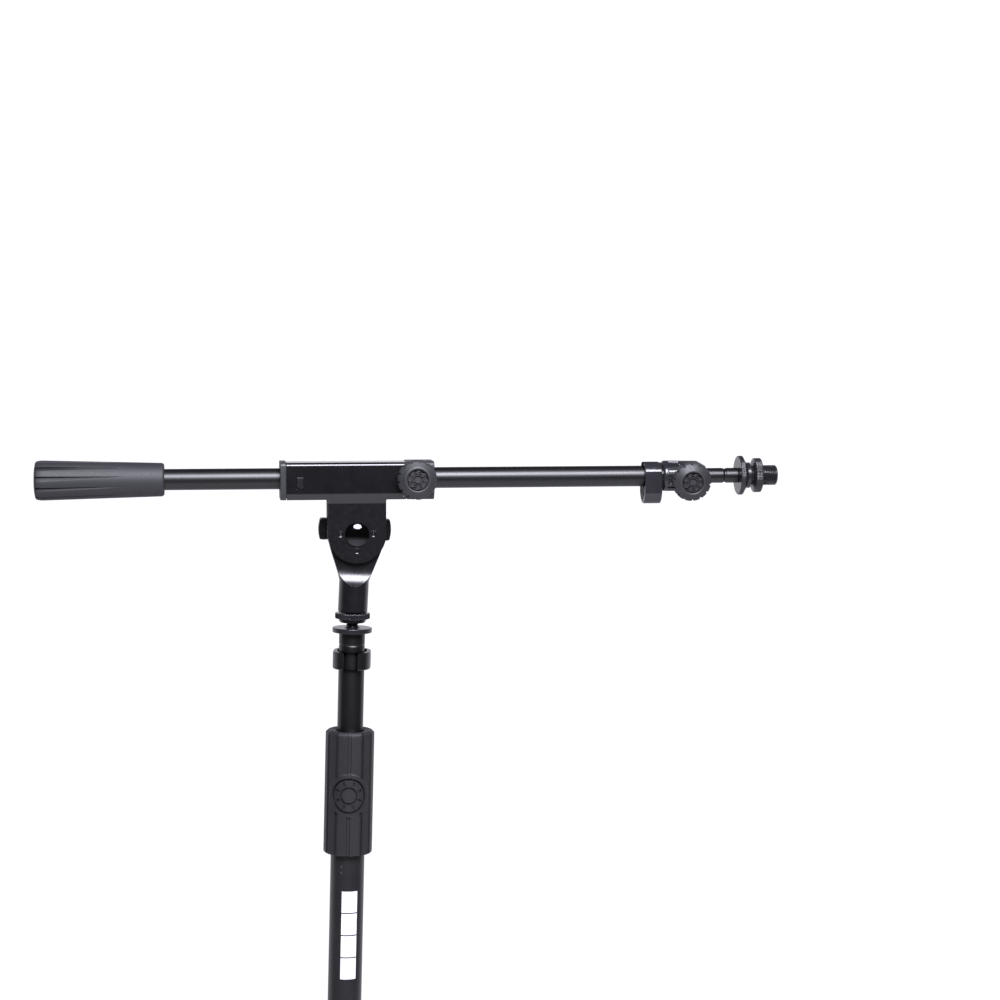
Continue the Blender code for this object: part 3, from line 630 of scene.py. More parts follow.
def hub():
    core = [(0, HUB_TOP), (HUB_R, HUB_TOP, 3), (HUB_R, HUB_BOTTOM, 3), (0, HUB_BOTTOM)]
    solid = lathe("hub_core", rounded(core, closed=False), 96)
    joins = []
    cuts = [rod(OUTER_R + GAP, OUTER_BOTTOM, HUB_TOP + 5, 96)]
    for hinge in LEG_HINGES:
        turn = Matrix.Rotation(azimuth_of(hinge), 4, "Z")
        arm = arc((HINGE_RADIUS, HINGE_Z), 11, -90, 90, 33)
        arm += [(OUTER_R + 4, HINGE_Z + 11), (OUTER_R + 4, HINGE_Z - 17)]
        cheeks = moved(slab("hub_arm", [arm], -9, 9, 0), along="-Y")
        slot = block((HUB_R + 0.8, -SLOT_HALF, 45), (60, SLOT_HALF, 90))
        hole = moved(rod(3 + GAP, -20, 20, 32), (HINGE_RADIUS, 0, HINGE_Z), "-Y")
        for made, where in ((cheeks, joins), (slot, cuts), (hole, cuts)):
            made.transform(turn)
            where.append(made)
    solid = boolean(solid, joins, "UNION")
    solid = boolean(solid, cuts, "DIFFERENCE")
    piece("tripod_hub", cast(solid, 0.55, 5), WORLD, "base", "casting", ["hub_body"])

    cover = [(0, 35.5), (18, 35.5, 1.5), (20.5, 37.8, 1), (20.5, 39.7), (0, 39.7)]
    piece(
        "tripod_hub_cover", lathe("cover", rounded(cover, False), 96), WORLD, "base", "black",
        ["hub_bottom_cover"],
    )

    def grooves(r, z, angle):
        wave = math.cos(angle * 16)
        return (r - 0.9 * max(0, wave) ** 2 if r > 18 else r), z

    low, high = HUB_TOP + GAP, HUB_TOP + 15
    nut = [(OUTER_R + GAP, high), (19.0, high, 1.5), (20.5, low, 1.2), (OUTER_R + GAP, low)]
    nut = finer(rounded(nut), 1.5)
    nut = lathe("nut", nut, 256, grooves, 60)
    piece("mast_socket_nut", nut, WORLD, "hub_nut", "black", ["hub_lock_nut"])


def legs():
    for number, hinge in enumerate(LEG_HINGES, 1):
        level = spot(Vector(hinge["pos_m"]) / MM, (0, 0, math.degrees(azimuth_of(hinge))))
        home = spot((0, 0, 0), (0, LEG_SLOPE, 0), level)
        body = f"leg_{number}"
        end = LEG_END - 9
        ring = [(LEG_R, LEG_START, 0.4), (LEG_R, end), (LEG_R - WALL, end), (LEG_R - WALL, LEG_START)]
        tube = lathe("leg", rounded(ring), 72)
        piece(f"leg_{number}_tube", tube, home, body, "tube", [f"leg_tube_{number}"], "X")

        tongue = arc((0, 0), 9.5, 60, 300, 33) + [(13.5, -7.5), (13.5, 7.5)]
        knuckle = moved(slab("tongue", [tongue], GAP - SLOT_HALF, SLOT_HALF - GAP, 0), along="-Y")
        plug = [(0, 30), (LEG_R - WALL - GAP, 30), (LEG_R - WALL - GAP, LEG_START - GAP)]
        plug += [(LEG_R, LEG_START - GAP), (LEG_R, 12.2), (0, 12.2)]
        knuckle = boolean(knuckle, [moved(lathe("plug", plug, 64), along="X")], "UNION")
        hole = moved(rod(3 + GAP, -20, 20, 32), along="-Y")
        knuckle = boolean(knuckle, [hole], "DIFFERENCE")
        knuckle = cast(knuckle, 0.4, 3)
        piece(f"leg_{number}_knuckle", knuckle, home, body, "casting", [f"leg_knuckle_{number}"])

        piece(f"leg_{number}_foot", foot_mesh(home), home, body, "rubber", [f"leg_foot_{number}"], "X")

        rivet = [(0, 10.9), (3.6, 10.4, 1.2), (4.6, 9.3, 0.4), (3, 9.3), (3, -9.3), (4.6, -9.3, 0.4)]
        rivet += [(3.6, -10.4, 1.2), (0, -10.9)]
        rivet = lathe("rivet", rounded(rivet, False), 48)
        piece(f"leg_{number}_rivet", rivet, level, "base", "zinc", [f"leg_pin_{number}"], "-Y")


def foot_mesh(home):
    """A ribbed rubber end cap, flat where it stands on the floor."""
    start, bore = LEG_END - 50, LEG_R + GAP
    outside = [(0, LEG_END), (10, LEG_END, 1), (FOOT_R, LEG_END - 4, 2), (FOOT_R, LEG_END - 22, 3)]
    outside += [(11, start + 6, 2), (9.8, start, 0.6), (bore, start)]
    outside += [(bore, LEG_END - 9 + GAP), (0, LEG_END - 9 + GAP)]
    outside = finer(rounded(outside, False), 0.8, closed=False)

    def ribs(r, z, angle):
        if r < 9.5 or z < start + 9 or z > LEG_END - 24:
            return r, z
        return r - 0.45 * (0.5 - 0.5 * math.cos((z - start - 9) * 2 * math.pi / 3.4)) ** 2, z

    mesh = lathe("foot", outside, 96, ribs, 50)
    to_world = home @ TURN["X"]
    back = to_world.inverted()
    for vertex in mesh.vertices:
        here = to_world @ vertex.co
        if here.z < 0:
            here.z = 0
            vertex.co = back @ here
    return mesh


# --- mast


def outer_tube():
    inside = OUTER_R - WALL
    marks = (GRIP_BOTTOM - 9.0, GRIP_BOTTOM - 13.5)
    ring = rounded([(inside, OUTER_TOP), (OUTER_R, OUTER_TOP, 0.3)], False)
    ring += [(OUTER_R, GRIP_BOTTOM - 7.5 - 0.2 * i) for i in range(38)]
    ring += [(OUTER_R, OUTER_BOTTOM), (inside, OUTER_BOTTOM)]

    def punched(r, z, angle):
        """Two punch marks that hold the clutch's socket."""
        if r < OUTER_R - 0.1:
            return r, z
        across = (angle - math.radians(PUNCH_TURN)) * OUTER_R
        for mark in marks:
            away = math.hypot(across, z - mark)
            r -= 0.5 * max(0, 1 - (away / 0.75) ** 2)
        return r, z

    piece("lower_mast_tube", lathe("outer", ring, 384, punched), WORLD, "base", "mast", ["mast_outer_tube"])


def clutch_grip():
    outside = [(11.0, GRIP_TOP - 0.8), (GRIP_R - 2.0, GRIP_TOP, 0.7), (GRIP_R, GRIP_TOP - 2.0, 0.5)]
    outside += [(GRIP_R, GRIP_BOTTOM, 1.6), (OUTER_R + 0.4, GRIP_BOTTOM, 0.5)]
    rows = []
    for a, b in zip(rounded(outside, False), rounded(outside, False)[1:]):
        rows += finer([a, b], 0.5, closed=False)[:-1]
    low, high = MEDAL_Z - MEDAL_RIM - 1.5, MEDAL_Z + MEDAL_RIM + 1.5
    kept = [p for i, p in enumerate(rows) if low < p[1] < high or i % 6 == 0 or p[0] < GRIP_R - 0.01]
    inside = [(OUTER_R + 0.4, GRIP_BOTTOM + 4), (16.5, GRIP_BOTTOM + 4)]
    inside += [(16.5, GRIP_TOP - 6), (11.0, GRIP_TOP - 6)]

    def relief(r, z, angle):
        if r < OUTER_R + 1.2 or r < 16.6 and GRIP_BOTTOM + 1 < z < GRIP_TOP - 5:
            return r, z
        return grip_relief(r, z, angle), z

    mesh = lathe("grip", kept + inside, GRIP_STEPS, relief, 32)
    piece("twist_grip", mesh, WORLD, "clutch", "rubber", ["clutch_grip"], turn=GRIP_TURN)


def grip_relief(r, z, angle):
    """Twelve flats with a channel between each two, and a round medallion front and back."""
    spread = 2 * math.pi / GRIP_FLUTES
    off = off_middle(angle, GRIP_FLUTES)
    to_flat = math.cos(spread / 2) / math.cos(spread / 2 - abs(off))
    flat = r * (1 - 0.75 * (1 - to_flat))
    across = off_middle(angle, 2) * GRIP_R
    away = math.hypot(across, z - MEDAL_Z)
    if away < MEDAL_RIM and abs(across) < MEDAL_RIM:
        return r - medallion(across, z - MEDAL_Z, away)
    blend = min(1, max(0, (away - MEDAL_RIM) / 0.8))
    channel = 1 if abs(off) * GRIP_R < CHANNEL_HALF else 0
    return flat * blend + r * (1 - blend) - CHANNEL_DEPTH * channel * blend


def medallion(u, v, away):
    """A sunk disc with a plain ring and short bars, all generic."""
    if away > MEDAL_R:
        return 0.0
    if away > MEDAL_R - 1.2 or 5.6 < away < 6.7:
        return 1.7
    if 8.0 <= away < MEDAL_R - 2.4:
        turn = (math.degrees(math.atan2(v, u)) % 45) - 22.5
        if abs(math.radians(turn)) * away < 0.8:
            return 1.5
    return 0.5


def printed_mark():
    """Plain white blocks down the front of the lower tube."""
    shape = bmesh.new()
    first, last = PRINT_TURNS
    outer, inner = OUTER_R + 0.06, OUTER_R - 0.1
    for number in range(PRINT_BLOCKS):
        high = PRINT_TOP - number * PRINT_STEP
        low = high - PRINT_STEP + PRINT_GAP
        rows = []
        for step in range(25):
            angle = math.radians(first + (last - first) * step / 24)
            ring = [(inner, low), (outer, low), (outer, high), (inner, high)]
            rows.append([shape.verts.new((r * math.cos(angle), r * math.sin(angle), z)) for r, z in ring])
        for one, two in zip(rows, rows[1:]):
            for k in range(4):
                shape.faces.new((one[k - 1], one[k], two[k], two[k - 1]))
        shape.faces.new(rows[0])
        shape.faces.new(rows[-1])
    piece("lower_mast_print", in_metres("mark", shape), WORLD, "base", "print")


def inner_tube():
    top = FLANGE_TOP - FLANGE_THICK - GAP
    inside = INNER_R - WALL
    crimp = PIVOT.z - 85.2
    ring = [(INNER_R, top, 0.3), (INNER_R, crimp + 0.7, 0.25), (INNER_R - 0.4, crimp, 0.3)]
    ring += [(INNER_R, crimp - 0.9, 0.25), (INNER_R, INNER_BOTTOM), (inside, INNER_BOTTOM), (inside, top)]
    piece("upper_mast_tube", lathe("inner", rounded(ring), 128), WORLD, "mast", "tube", ["mast_inner_tube"])


def mast_top():
    bottom, bore = FLANGE_TOP - FLANGE_THICK, STUD_R + GAP
    plug = [(bore, FLANGE_TOP), (5.6, FLANGE_TOP, 0.2), (6.2, FLANGE_TOP - 0.4, 0.2)]
    plug += [(FLANGE_R, FLANGE_TOP - 0.4, 0.6), (FLANGE_R, bottom, 0.6), (INNER_R - WALL - GAP, bottom)]
    plug += [(INNER_R - WALL - GAP, bottom - 24), (bore, bottom - 24)]
    flange = lathe("flange", rounded(plug), 128)
    piece("mast_top_flange", flange, WORLD, "mast", "chrome", ["mast_top_plug"])
    low, high = bottom - 20, PIVOT.z + STALK_BOTTOM + 16
    stud = [(0, high), (STUD_R, high), (STUD_R, low), (0, low)]

    def helix(*place):
        return thread(place, STUD_R, PITCH_38, 0.75, FLANGE_TOP + 0.2, high)

    stud = lathe("stud", finer(stud, PITCH_38 / 6, closed=False), 48, helix, 80)
    piece("mast_thread", stud, WORLD, "mast", "chrome", ["mast_stud"])
    top = STALK_BOTTOM - 0.6
    ring = [(bore, top), (RING_R, top, 0.8), (RING_R, top - 4.2, 0.6), (10.3, top - 4.3, 0.3)]
    ring += [(10.3, top - 6.1, 0.4), (9.2, top - 7.3, 0.4), (bore, top - 7.3)]
    mesh = lathe("ring", finer(rounded(ring), 0.6), 360, knurl(RING_R, 90), 60)
    piece("head_lock_ring", mesh, spot((0, 0, PIVOT.z)), "lock_ring", "chrome", ["mast_lock_ring"])


def knurl(radius, count, depth=0.28):
    """Fine straight teeth on a rim."""

    def teeth(r, z, angle):
        if r < radius - 0.35:
            return r, z
        return r - depth * (0.5 + 0.5 * math.cos(angle * count)), z

    return teeth


def mast_clip_outline():
    """A C that snaps on the mast at its open end, with a loop for a cable at its other end."""
    inner, outer, back = INNER_R + GAP, INNER_R + 4.5, 8.4
    ends = [math.degrees(math.asin(CLIP_MOUTH_HALF / radius)) for radius in (inner, outer)]
    outside = arc((0, 0), outer, 90 - ends[1], 0, 30) + arc((0, -back), outer, -2, -178, 40)
    outside += arc((0, 0), outer, 180, 90 + ends[1], 30)
    inside = arc((0, 0), inner, 90 + ends[0], 180, 30) + arc((0, -back), inner, 182, 358, 40)
    inside += arc((0, 0), inner, 0, 90 - ends[0], 30)
    return outside + inside


def boom_clip_outline():
    """A C that snaps on the boom from below, with flat sides and a narrower loop under the boom."""
    inner, outer, mouth = BOOM_R + GAP, 11.7, 4.6
    ends = [math.degrees(math.asin(mouth / radius)) for radius in (inner, outer)]
    outside = arc((0, 0), outer, 90 - ends[1], 19, 24)
    run = [(11.2, 2.0), (11.2, -12.8, 0.7), (8.4, -17.9, 2.6), (3.6, -21.2, 2.6), (0, -21.2)]
    outside += rounded(run, False)
    inside = arc((0, 0), inner, 90 - ends[0], -24, 24)
    run = [(8.6, -5.2), (8.6, -12.4, 1.5), (6.4, -16.4, 2.0), (2.8, -18.8, 2.0), (0, -18.8)]
    inside += rounded(run, False)
    half, hollow = outside[:-1], inside[:-1]
    ring = half + [(-u, v) for u, v in reversed(half)]
    return ring + [(-u, v) for u, v in hollow] + hollow[::-1]


def clips():
    half = CLIP_WIDTH / 2
    mast = slab("mast_clip", [mast_clip_outline()], -half, half, 1.1)
    home = spot((0, 0, MAST_CLIP_Z), (0, 0, MAST_CLIP_TURN))
    piece("mast_clip_for_cable", mast, home, "mast_clip", "black", ["mast_cable_clip"])
    boom = slab("boom_clip", [boom_clip_outline()], -half, half, 0.8)
    at = (BOOM_CLIP_X, 0, 0)
    piece("boom_clip_for_cable", boom, BOOM_AXIS, "boom_clip", "glossy", ["boom_cable_clip"], "X", at)


# --- tilting head


def stalk():
    """A round stem that widens and thins into a flat tongue."""
    neck = -36.0
    lean = math.atan2(-neck, STALK_R)
    touch = math.acos(TONGUE_R / math.hypot(neck, STALK_R))
    tangent = touch - lean
    touch_x, touch_z = TONGUE_R * math.cos(tangent), TONGUE_R * math.sin(tangent)

    def half_width(z):
        if z <= neck:
            return STALK_R
        if z <= touch_z:
            t = (z - neck) / (touch_z - neck)
            ease = t * t * (3 - 2 * t) * 0.25 + t * 0.75
            return STALK_R + (touch_x - STALK_R) * ease
        return math.sqrt(max(TONGUE_R**2 - z * z, 0))

    shape = bmesh.new()
    heights = [STALK_BOTTOM, STALK_BOTTOM + 0.35, STALK_BOTTOM + 1.0]
    heights += [STALK_BOTTOM + 1 + (neck - 3 - STALK_BOTTOM - 1) * i / 6 for i in range(1, 7)]
    heights += [neck - 3 + (TONGUE_R - 0.4 - neck + 3) * i / 60 for i in range(1, 61)]
    rows = []
    for z in heights:
        wide = half_width(z)
        edge = max(0, (STALK_BOTTOM + 1.0 - z)) * 0.8
        corner = STALK_R - 4.0 * min(1, max(0, (z - neck + 1.5) / 9))
        section = stem_section(wide - edge, STALK_R - edge, corner)
        rows.append([shape.verts.new((x, y, z)) for x, y in section])
    for lower, upper in zip(rows, rows[1:]):
        for i in range(len(lower)):
            j = (i + 1) % len(lower)
            shape.faces.new((lower[i], lower[j], upper[j], upper[i]))
    shape.faces.new(rows[0])
    shape.faces.new(rows[-1])
    solid = to_mesh("stalk", shape)
    cuts = []
    for side in (1, -1):
        radius, start = 21.0, -25.0
        run = arc((-TONGUE_HALF - radius, start), radius, 0, -60, 40)
        outline = [(-TONGUE_HALF, 40)] + run + [(-60, run[-1][1]), (-60, 40)]
        outline = [(y * side, z) for y, z in outline]
        cuts.append(moved(slab("scoop", [outline], -40, 40, 0), along="X"))
    cuts.append(moved(rod(BOLT_R + GAP, -20, 20), along="-Y"))
    cuts.append(rod(8.3, STALK_BOTTOM - 5, STALK_BOTTOM + 17))
    solid = boolean(solid, cuts, "DIFFERENCE")
    solid = softened(solid, 0.45, 32)
    piece("stalk_casting", solid, STALK, "swivel", "casting", ["swivel_stalk"])


def stem_section(wide, deep, corner):
    """A rounded rectangle of half sizes wide and deep, as one ring of points."""
    corner = min(corner, wide, deep)
    ring = []
    for cx, cy, start in ((1, 1, 0), (-1, 1, 90), (-1, -1, 180), (1, -1, 270)):
        centre = (cx * (wide - corner), cy * (deep - corner))
        ring += arc(centre, corner, start + 1.5, start + 88.5, 16)
    return ring


def inset(points, distance):
    """The points of an open path moved to its right side by a distance, corners kept sharp."""
    out = []
    for i, here in enumerate(points):
        here = Vector(here)
        before = Vector(points[i - 1]) if i else here * 2 - Vector(points[1])
        after = Vector(points[i + 1]) if i < len(points) - 1 else here * 2 - Vector(points[i - 1])
        first, last = (here - before).normalized(), (after - here).normalized()
        normals = Vector((first.y, -first.x)), Vector((last.y, -last.x))
        mitre = (normals[0] + normals[1]).normalized()
        out.append(tuple(here + mitre * (distance / mitre.dot(normals[0]))))
    return out


def sheet_path(points, cuts):
    """The path of a folded sheet with its three bends rounded."""
    first, last = points[0], points[-1]
    bends = [(*point, cut) for point, cut in zip(points[1:-1], cuts)]
    return rounded([first, *bends, last], False, 8)


def latch_outline(wide, high):
    """A rectangle of half sizes wide and high, with its corners rounded."""
    return rounded([(-wide, -high, 0.5), (wide, -high, 0.5), (wide, high, 0.5), (-wide, high, 0.5)])


def housing():
    """A folded sheet: a channel round the boom, whose lips run down as the two cheeks of a fork."""
    ridge = [(0, HEAD_TOP), (HEAD_HALF, HEAD_TOP), (HEAD_HALF, BEND_Z), (FORK_OUTER, CHEEK_Z)]
    ridge += [(FORK_OUTER, -BOOM_HEIGHT - FORK_R - 1)]
    outside = sheet_path(ridge, (HEAD_CORNER, 1.0, 0.35))
    inside = sheet_path(inset(ridge, PLATE), (HEAD_CORNER - PLATE, 0.5, 0.9))
    half = [(y, z) for y, z in outside + inside[::-1] if y > 1e-6]
    section = half + [(-y, z) for y, z in reversed(half)]
    solid = moved(slab("sheet", [section], STEEL_START, STEEL_END, 0), along="X")
    side = [(STEEL_START - 1, HEAD_TOP + 5), (STEEL_START - 1, HEAD_BOTTOM), (-FORK_R, HEAD_BOTTOM, 0.9)]
    side += [(x, z - BOOM_HEIGHT) for x, z in arc((0, 0), FORK_R, 180, 360, 65)]
    side += [(FORK_R, HEAD_BOTTOM, 0.9), (STEEL_END + 1, HEAD_BOTTOM), (STEEL_END + 1, HEAD_TOP + 5)]
    solid = boolean(solid, [moved(slab("side", [rounded(side)], -20, 20, 0), along="-Y")], "INTERSECT")
    window = slab("window", [latch_outline(3, 4.5)], 8, 20, 0)
    cuts = [moved(window, (LATCH_X, 0, LATCH_Z), "-Y")]
    cuts.append(moved(rod(BOLT_R + GAP, -20, 20), (0, 0, -BOOM_HEIGHT), "-Y"))
    cuts.append(moved(rod(0.7, 5, 20, 24), (STEEL_END - 1.7, 0, HEAD_BOTTOM + 2.4), "-Y"))
    for x, z in DIMPLES:
        cuts.append(moved(rod(DIMPLE_R, -20, 20, 40), (x, 0, z - BOOM_HEIGHT), "-Y"))
    solid = softened(boolean(solid, cuts, "DIFFERENCE"), 0.3, 50, 3)
    piece("boom_housing_steel", solid, BOOM_AXIS, "head", "gloss", ["boom_housing"])
    solid.materials.append(MATERIALS["fork"])
    for polygon in solid.polygons:
        if polygon.center.z < (CHEEK_Z - 0.1) * MM:
            polygon.material_index = 1


def dimples():
    """Half-pierced rings round the bolt, each with a small hole in its middle."""
    cup = [(0, -0.15), (0.45, -0.2, 0.2), (0.65, -0.9, 0.15), (1.35, -0.9, 0.2), (1.7, -0.4, 0.4)]
    cup += [(DIMPLE_R, 0.04, 0.2)]
    cup += [(DIMPLE_R, -PLATE + 0.2, 0.2), (0, -PLATE + 0.2)]
    cup = rounded(cup, False)
    for number, (x, z) in enumerate(DIMPLES, 1):
        for side, name in ((1, "front"), (-1, "rear")):
            turn = TURN["-Y"] if side == 1 else TURN["-Y"] @ Matrix.Rotation(math.pi, 4, "X")
            home = spot((x, -side * FORK_OUTER, z), (0, 0, 0), BOOM) @ turn
            piece(f"fork_dimple_{name}_{number}", lathe("dimple", cup, 40), home, "head", "gloss")


def head_section(half, top, bottom, corner, low_half):
    """The head's outline in Y and Z: rounded above, sloping in below."""
    run = arc((half - corner, top - corner), corner, 90, 0, 12)
    right = run + [(half, BEND_Z), (low_half, bottom)]
    return right + [(-y, z) for y, z in reversed(right)]


def caps():
    face = head_section(HEAD_HALF + 0.35, HEAD_TOP + 0.6, HEAD_BOTTOM, HEAD_CORNER, FORK_OUTER + 1.5)
    plug = head_section(HEAD_HALF - PLATE - GAP, HEAD_TOP - PLATE - GAP, HEAD_BOTTOM + 2.5, 1.2, 7.0)
    hole = circle((0, 0), BOOM_R + GAP)
    rear = slab("cap", [face, hole], HEAD_START, STEEL_START - GAP, 0.6)
    spigot = slab("spigot", [plug, hole], STEEL_START - 1, LATCH_X + 4.5, 0)
    rear = moved(boolean(rear, [spigot], "UNION"), along="X")
    piece("rear_cap", softened(rear, 0.15, 50, 2), BOOM_AXIS, "head", "grey", ["housing_cap_rear"])
    latch = slab("latch", [latch_outline(2.7, 4.2)], 11.0, HEAD_HALF - 0.4, 0.4)
    piece("rear_cap_latch", latch, BOOM_AXIS, "head", "black", along="-Y", at=(LATCH_X, 0, LATCH_Z))

    front = slab("cap", [face, hole], STEEL_END + GAP, HEAD_END, 0.8)
    spigot = slab("spigot", [plug, hole], STEEL_END - 7, STEEL_END + 1, 0)
    front = moved(boolean(front, [spigot], "UNION"), along="X")
    at = (CLAMP_X, 0, 0)
    boss = lathe("boss", rounded([(0, 17.4), (7.0, 17.4, 0.4), (7.0, 12), (0, 12)], False), 64)
    front = boolean(front, [moved(boss, at, "-Y")], "UNION")
    holes = [moved(rod(5.3, 10.8, 30), at, "-Y"), moved(rod(3.8, 5, 12), at, "-Y")]
    front = softened(boolean(front, holes, "DIFFERENCE"), 0.15, 50, 2)
    piece("front_cap", front, BOOM_AXIS, "head", "grey", ["housing_cap_front"])


def pivot_fittings():
    outside = FORK_OUTER + GAP
    crown = DOME_HEIGHT / 2 + DOME_R**2 / (2 * DOME_HEIGHT)
    half = math.degrees(math.asin(DOME_R / crown))
    top = outside + 0.7 + DOME_HEIGHT
    head = arc((0, top - crown), crown, 89, 90 - half, 20)
    bolt = [(0, top)] + head + [(DOME_R + 0.1, outside), (BOLT_R, outside), (BOLT_R, -23), (0, -23)]
    piece("dome_bolt", lathe("bolt", bolt, 96), BOOM, "head", "dome", ["pivot_bolt"], "-Y")
    low = -outside - 1.5
    washer = [(BOLT_R + GAP, -outside), (8.5, -outside, 0.3), (8.5, low, 0.3), (BOLT_R + GAP, low)]
    washer = lathe("washer", rounded(washer), 64)
    piece("pivot_steel_washer", washer, BOOM, "head", "zinc", ["pivot_washer"], "-Y")
    top = low - GAP
    wing = [(12, 8.5, 4), (26.4, 10.2, 2.8), (WING_REACH, 1.5, 9), (26.4, -7.2, 2.8), (12, -5.7, 4)]
    wings = wing + [(-u, v, cut) for u, v, cut in reversed(wing)]
    wings = rounded(wings, count=10)
    nut = slab("wings", [wings], top - 13, top - 4, 0)
    hub = lathe("hub", rounded([(0, top), (10.5, top, 0.6), (10.5, top - 15, 3), (0, top - 15)], False), 64)
    nut = boolean(nut, [hub], "UNION")
    nut = boolean(nut, [rod(6.3, top - 12, top + 5)], "DIFFERENCE")
    nut = cast(nut, 0.45, 7)
    piece("wing_nut", nut, BOOM, "wing_nut", "black", ["tilt_wing_nut"], "-Y", turn=WING_TURN)


# --- knobs


def knob_mesh(base):
    """A hand knob with a notched rim, and a plain engraved pattern in its sunk face."""
    profile = [(0, base + 10.7), (7.9, base + 10.7, 0.1), (8.1, base + 11.6, 0.2), (8.9, base + 12.1, 0.5)]
    profile += [(9.9, base + 11.7, 0.6), (13.9, base + 8.9, 0.8), (KNOB_R, base + 7.6, 0.8)]
    profile += [(KNOB_R, base + 3.2, 0.8), (13.8, base + 2.4, 0.5), (9.0, base + 2.4), (9.0, base, 0.4)]
    profile += [(3.3, base), (3.3, base + 8.0), (0, base + 8.0)]
    profile = finer(rounded(profile, False), 0.3, closed=False)

    def relief(r, z, angle):
        if z > base + 10.6 and r < 8.05:
            return r, z - engraving(r, angle)
        if r > 13.2:
            off = abs(off_middle(angle, KNOB_NOTCHES)) * KNOB_R
            depth = min(1, max(0, (0.9 - off) / 0.35))
            return r - 1.0 * depth * min(1, (r - 13.2) / 1.2), z
        return r, z

    return lathe("knob", profile, 420, relief, 34)


def engraving(r, angle):
    """How deep the face is cut at a place: a rim groove, a small ring and two rings of short slots."""
    if r > 7.35 or 2.5 < r < 3.2:
        return 1.2
    for low, high, turn in ((3.9, 5.2, 0.0), (5.6, 7.0, 22.5)):
        off = (math.degrees(angle) + turn + 12 * r) % 45 - 22.5
        if low < r < high and abs(math.radians(off)) * r < 1.15:
            return 1.1
    return 0.0


def knobs():
    at = (CLAMP_X, 0, 0)
    knob = knob_mesh(SLIDE_KNOB_BASE)
    parts = ["boom_clamp_knob"]
    piece("slide_clamp_knob", knob, BOOM_AXIS, "boom_clamp", "grey", parts, "-Y", at, SLIDE_KNOB_TURN)
    knob = knob_mesh(ROD_KNOB_BASE)
    parts = ["rod_clamp_knob"]
    piece("rod_lock_knob", knob, ROD_CLAMP, "rod_clamp", "grey", parts, "-Y", turn=ROD_KNOB_TURN)


# --- boom


def boom_barrel():
    inside = BOOM_R - WALL
    ring = [(BOOM_R, BOOM_END, 0.3), (BOOM_R, BOOM_START), (inside, BOOM_START), (inside, BOOM_END)]
    tube = lathe("boom", rounded(ring), 128)
    piece("boom_outer_tube", tube, BOOM_AXIS, "boom", "tube", ["boom_tube"], "X")


def handle():
    bore = BOOM_R + GAP
    outside = [(0, HANDLE_START), (9, HANDLE_START + 0.2, 3), (HANDLE_BIG_R - 0.7, HANDLE_START + 1.2, 1.8)]
    outside += [(HANDLE_BIG_R, HANDLE_START + 5.5, 1.5), (HANDLE_SMALL_R, HANDLE_END - 0.6, 1.6)]
    outside += [(HANDLE_SMALL_R - 1.2, HANDLE_END, 0.4), (bore + 0.9, HANDLE_END)]
    outside += [(bore + 0.9, HANDLE_END - 1.6), (bore, HANDLE_END - 1.6)]
    outside += [(bore, BOOM_START - GAP), (0, BOOM_START - GAP)]
    outside = finer(rounded(outside, False), 0.9, closed=False)

    def flutes(r, z, angle):
        if r < 9.5:
            return r, z
        off = off_middle(angle - math.radians(HANDLE_TURN), HANDLE_FLUTES)
        share = max(0, 1 - (z - HANDLE_START) / HANDLE_FLUTE_LENGTH)
        half = 0.4 + 3.2 * share
        across = off * 14.0
        depth = 2.1 * share**0.8
        if across < -0.25 or across > half:
            return r, z
        wall = min(1, (across + 0.25) / 0.25)
        slope = 1 - max(0, across) / half
        return r - depth * wall * slope, z

    mesh = lathe("handle", outside, 480, flutes, 34)
    piece("counter_grip", mesh, BOOM_AXIS, "boom", "soft", ["boom_handle"], "X")


def collar():
    bore, nose = BOOM_R + GAP, ROD_R + GAP
    start, end = COLLAR_START, COLLAR_END
    ring = [(COLLAR_R - 0.3, end - 7.0, 1), (COLLAR_R, start + 1.4, 0.8), (COLLAR_R - 1.3, start, 0.3)]
    ring += [(bore, start), (bore, BOOM_END + GAP), (nose, BOOM_END + GAP), (nose, end)]
    ring += [(COLLAR_R - 4.2, end, 0.8)]
    ring = finer(rounded(ring), 0.4)

    def pockets(r, z, angle):
        if r < COLLAR_R - 2.2:
            return r, z
        across = off_middle(angle, COLLAR_POCKETS) * COLLAR_R
        along = max(0, abs(z - (start + 8.5)) - 3.6)
        away = math.hypot(across, along)
        return r - 1.0 * min(1, max(0, (1.5 - away) / 0.55)), z

    body = lathe("collar", ring, 336, pockets, 40)
    moved(body, along="X")
    turn = spot((ROD_CLAMP_X, 0, 0), (ROD_CLAMP_TURN, 0, 0))
    boss = lathe("boss", rounded([(0, 15.4), (9, 15.4, 0.6), (9, 8.6), (0, 8.6)], False), 64)
    boss = moved(boss, along="-Y")
    hole = moved(rod(5.3, 9.6, 30), along="-Y")
    for mesh in (boss, hole):
        mesh.transform(turn)
    bar = moved(rod(bore, start - 5, BOOM_END + GAP, 96), along="X")
    body = boolean(body, [boss], "UNION")
    body = boolean(body, [hole, bar], "DIFFERENCE")
    piece("rod_clamp_collar", smoothed(body, 40), BOOM_AXIS, "boom", "glossy", ["rod_clutch_collar"])


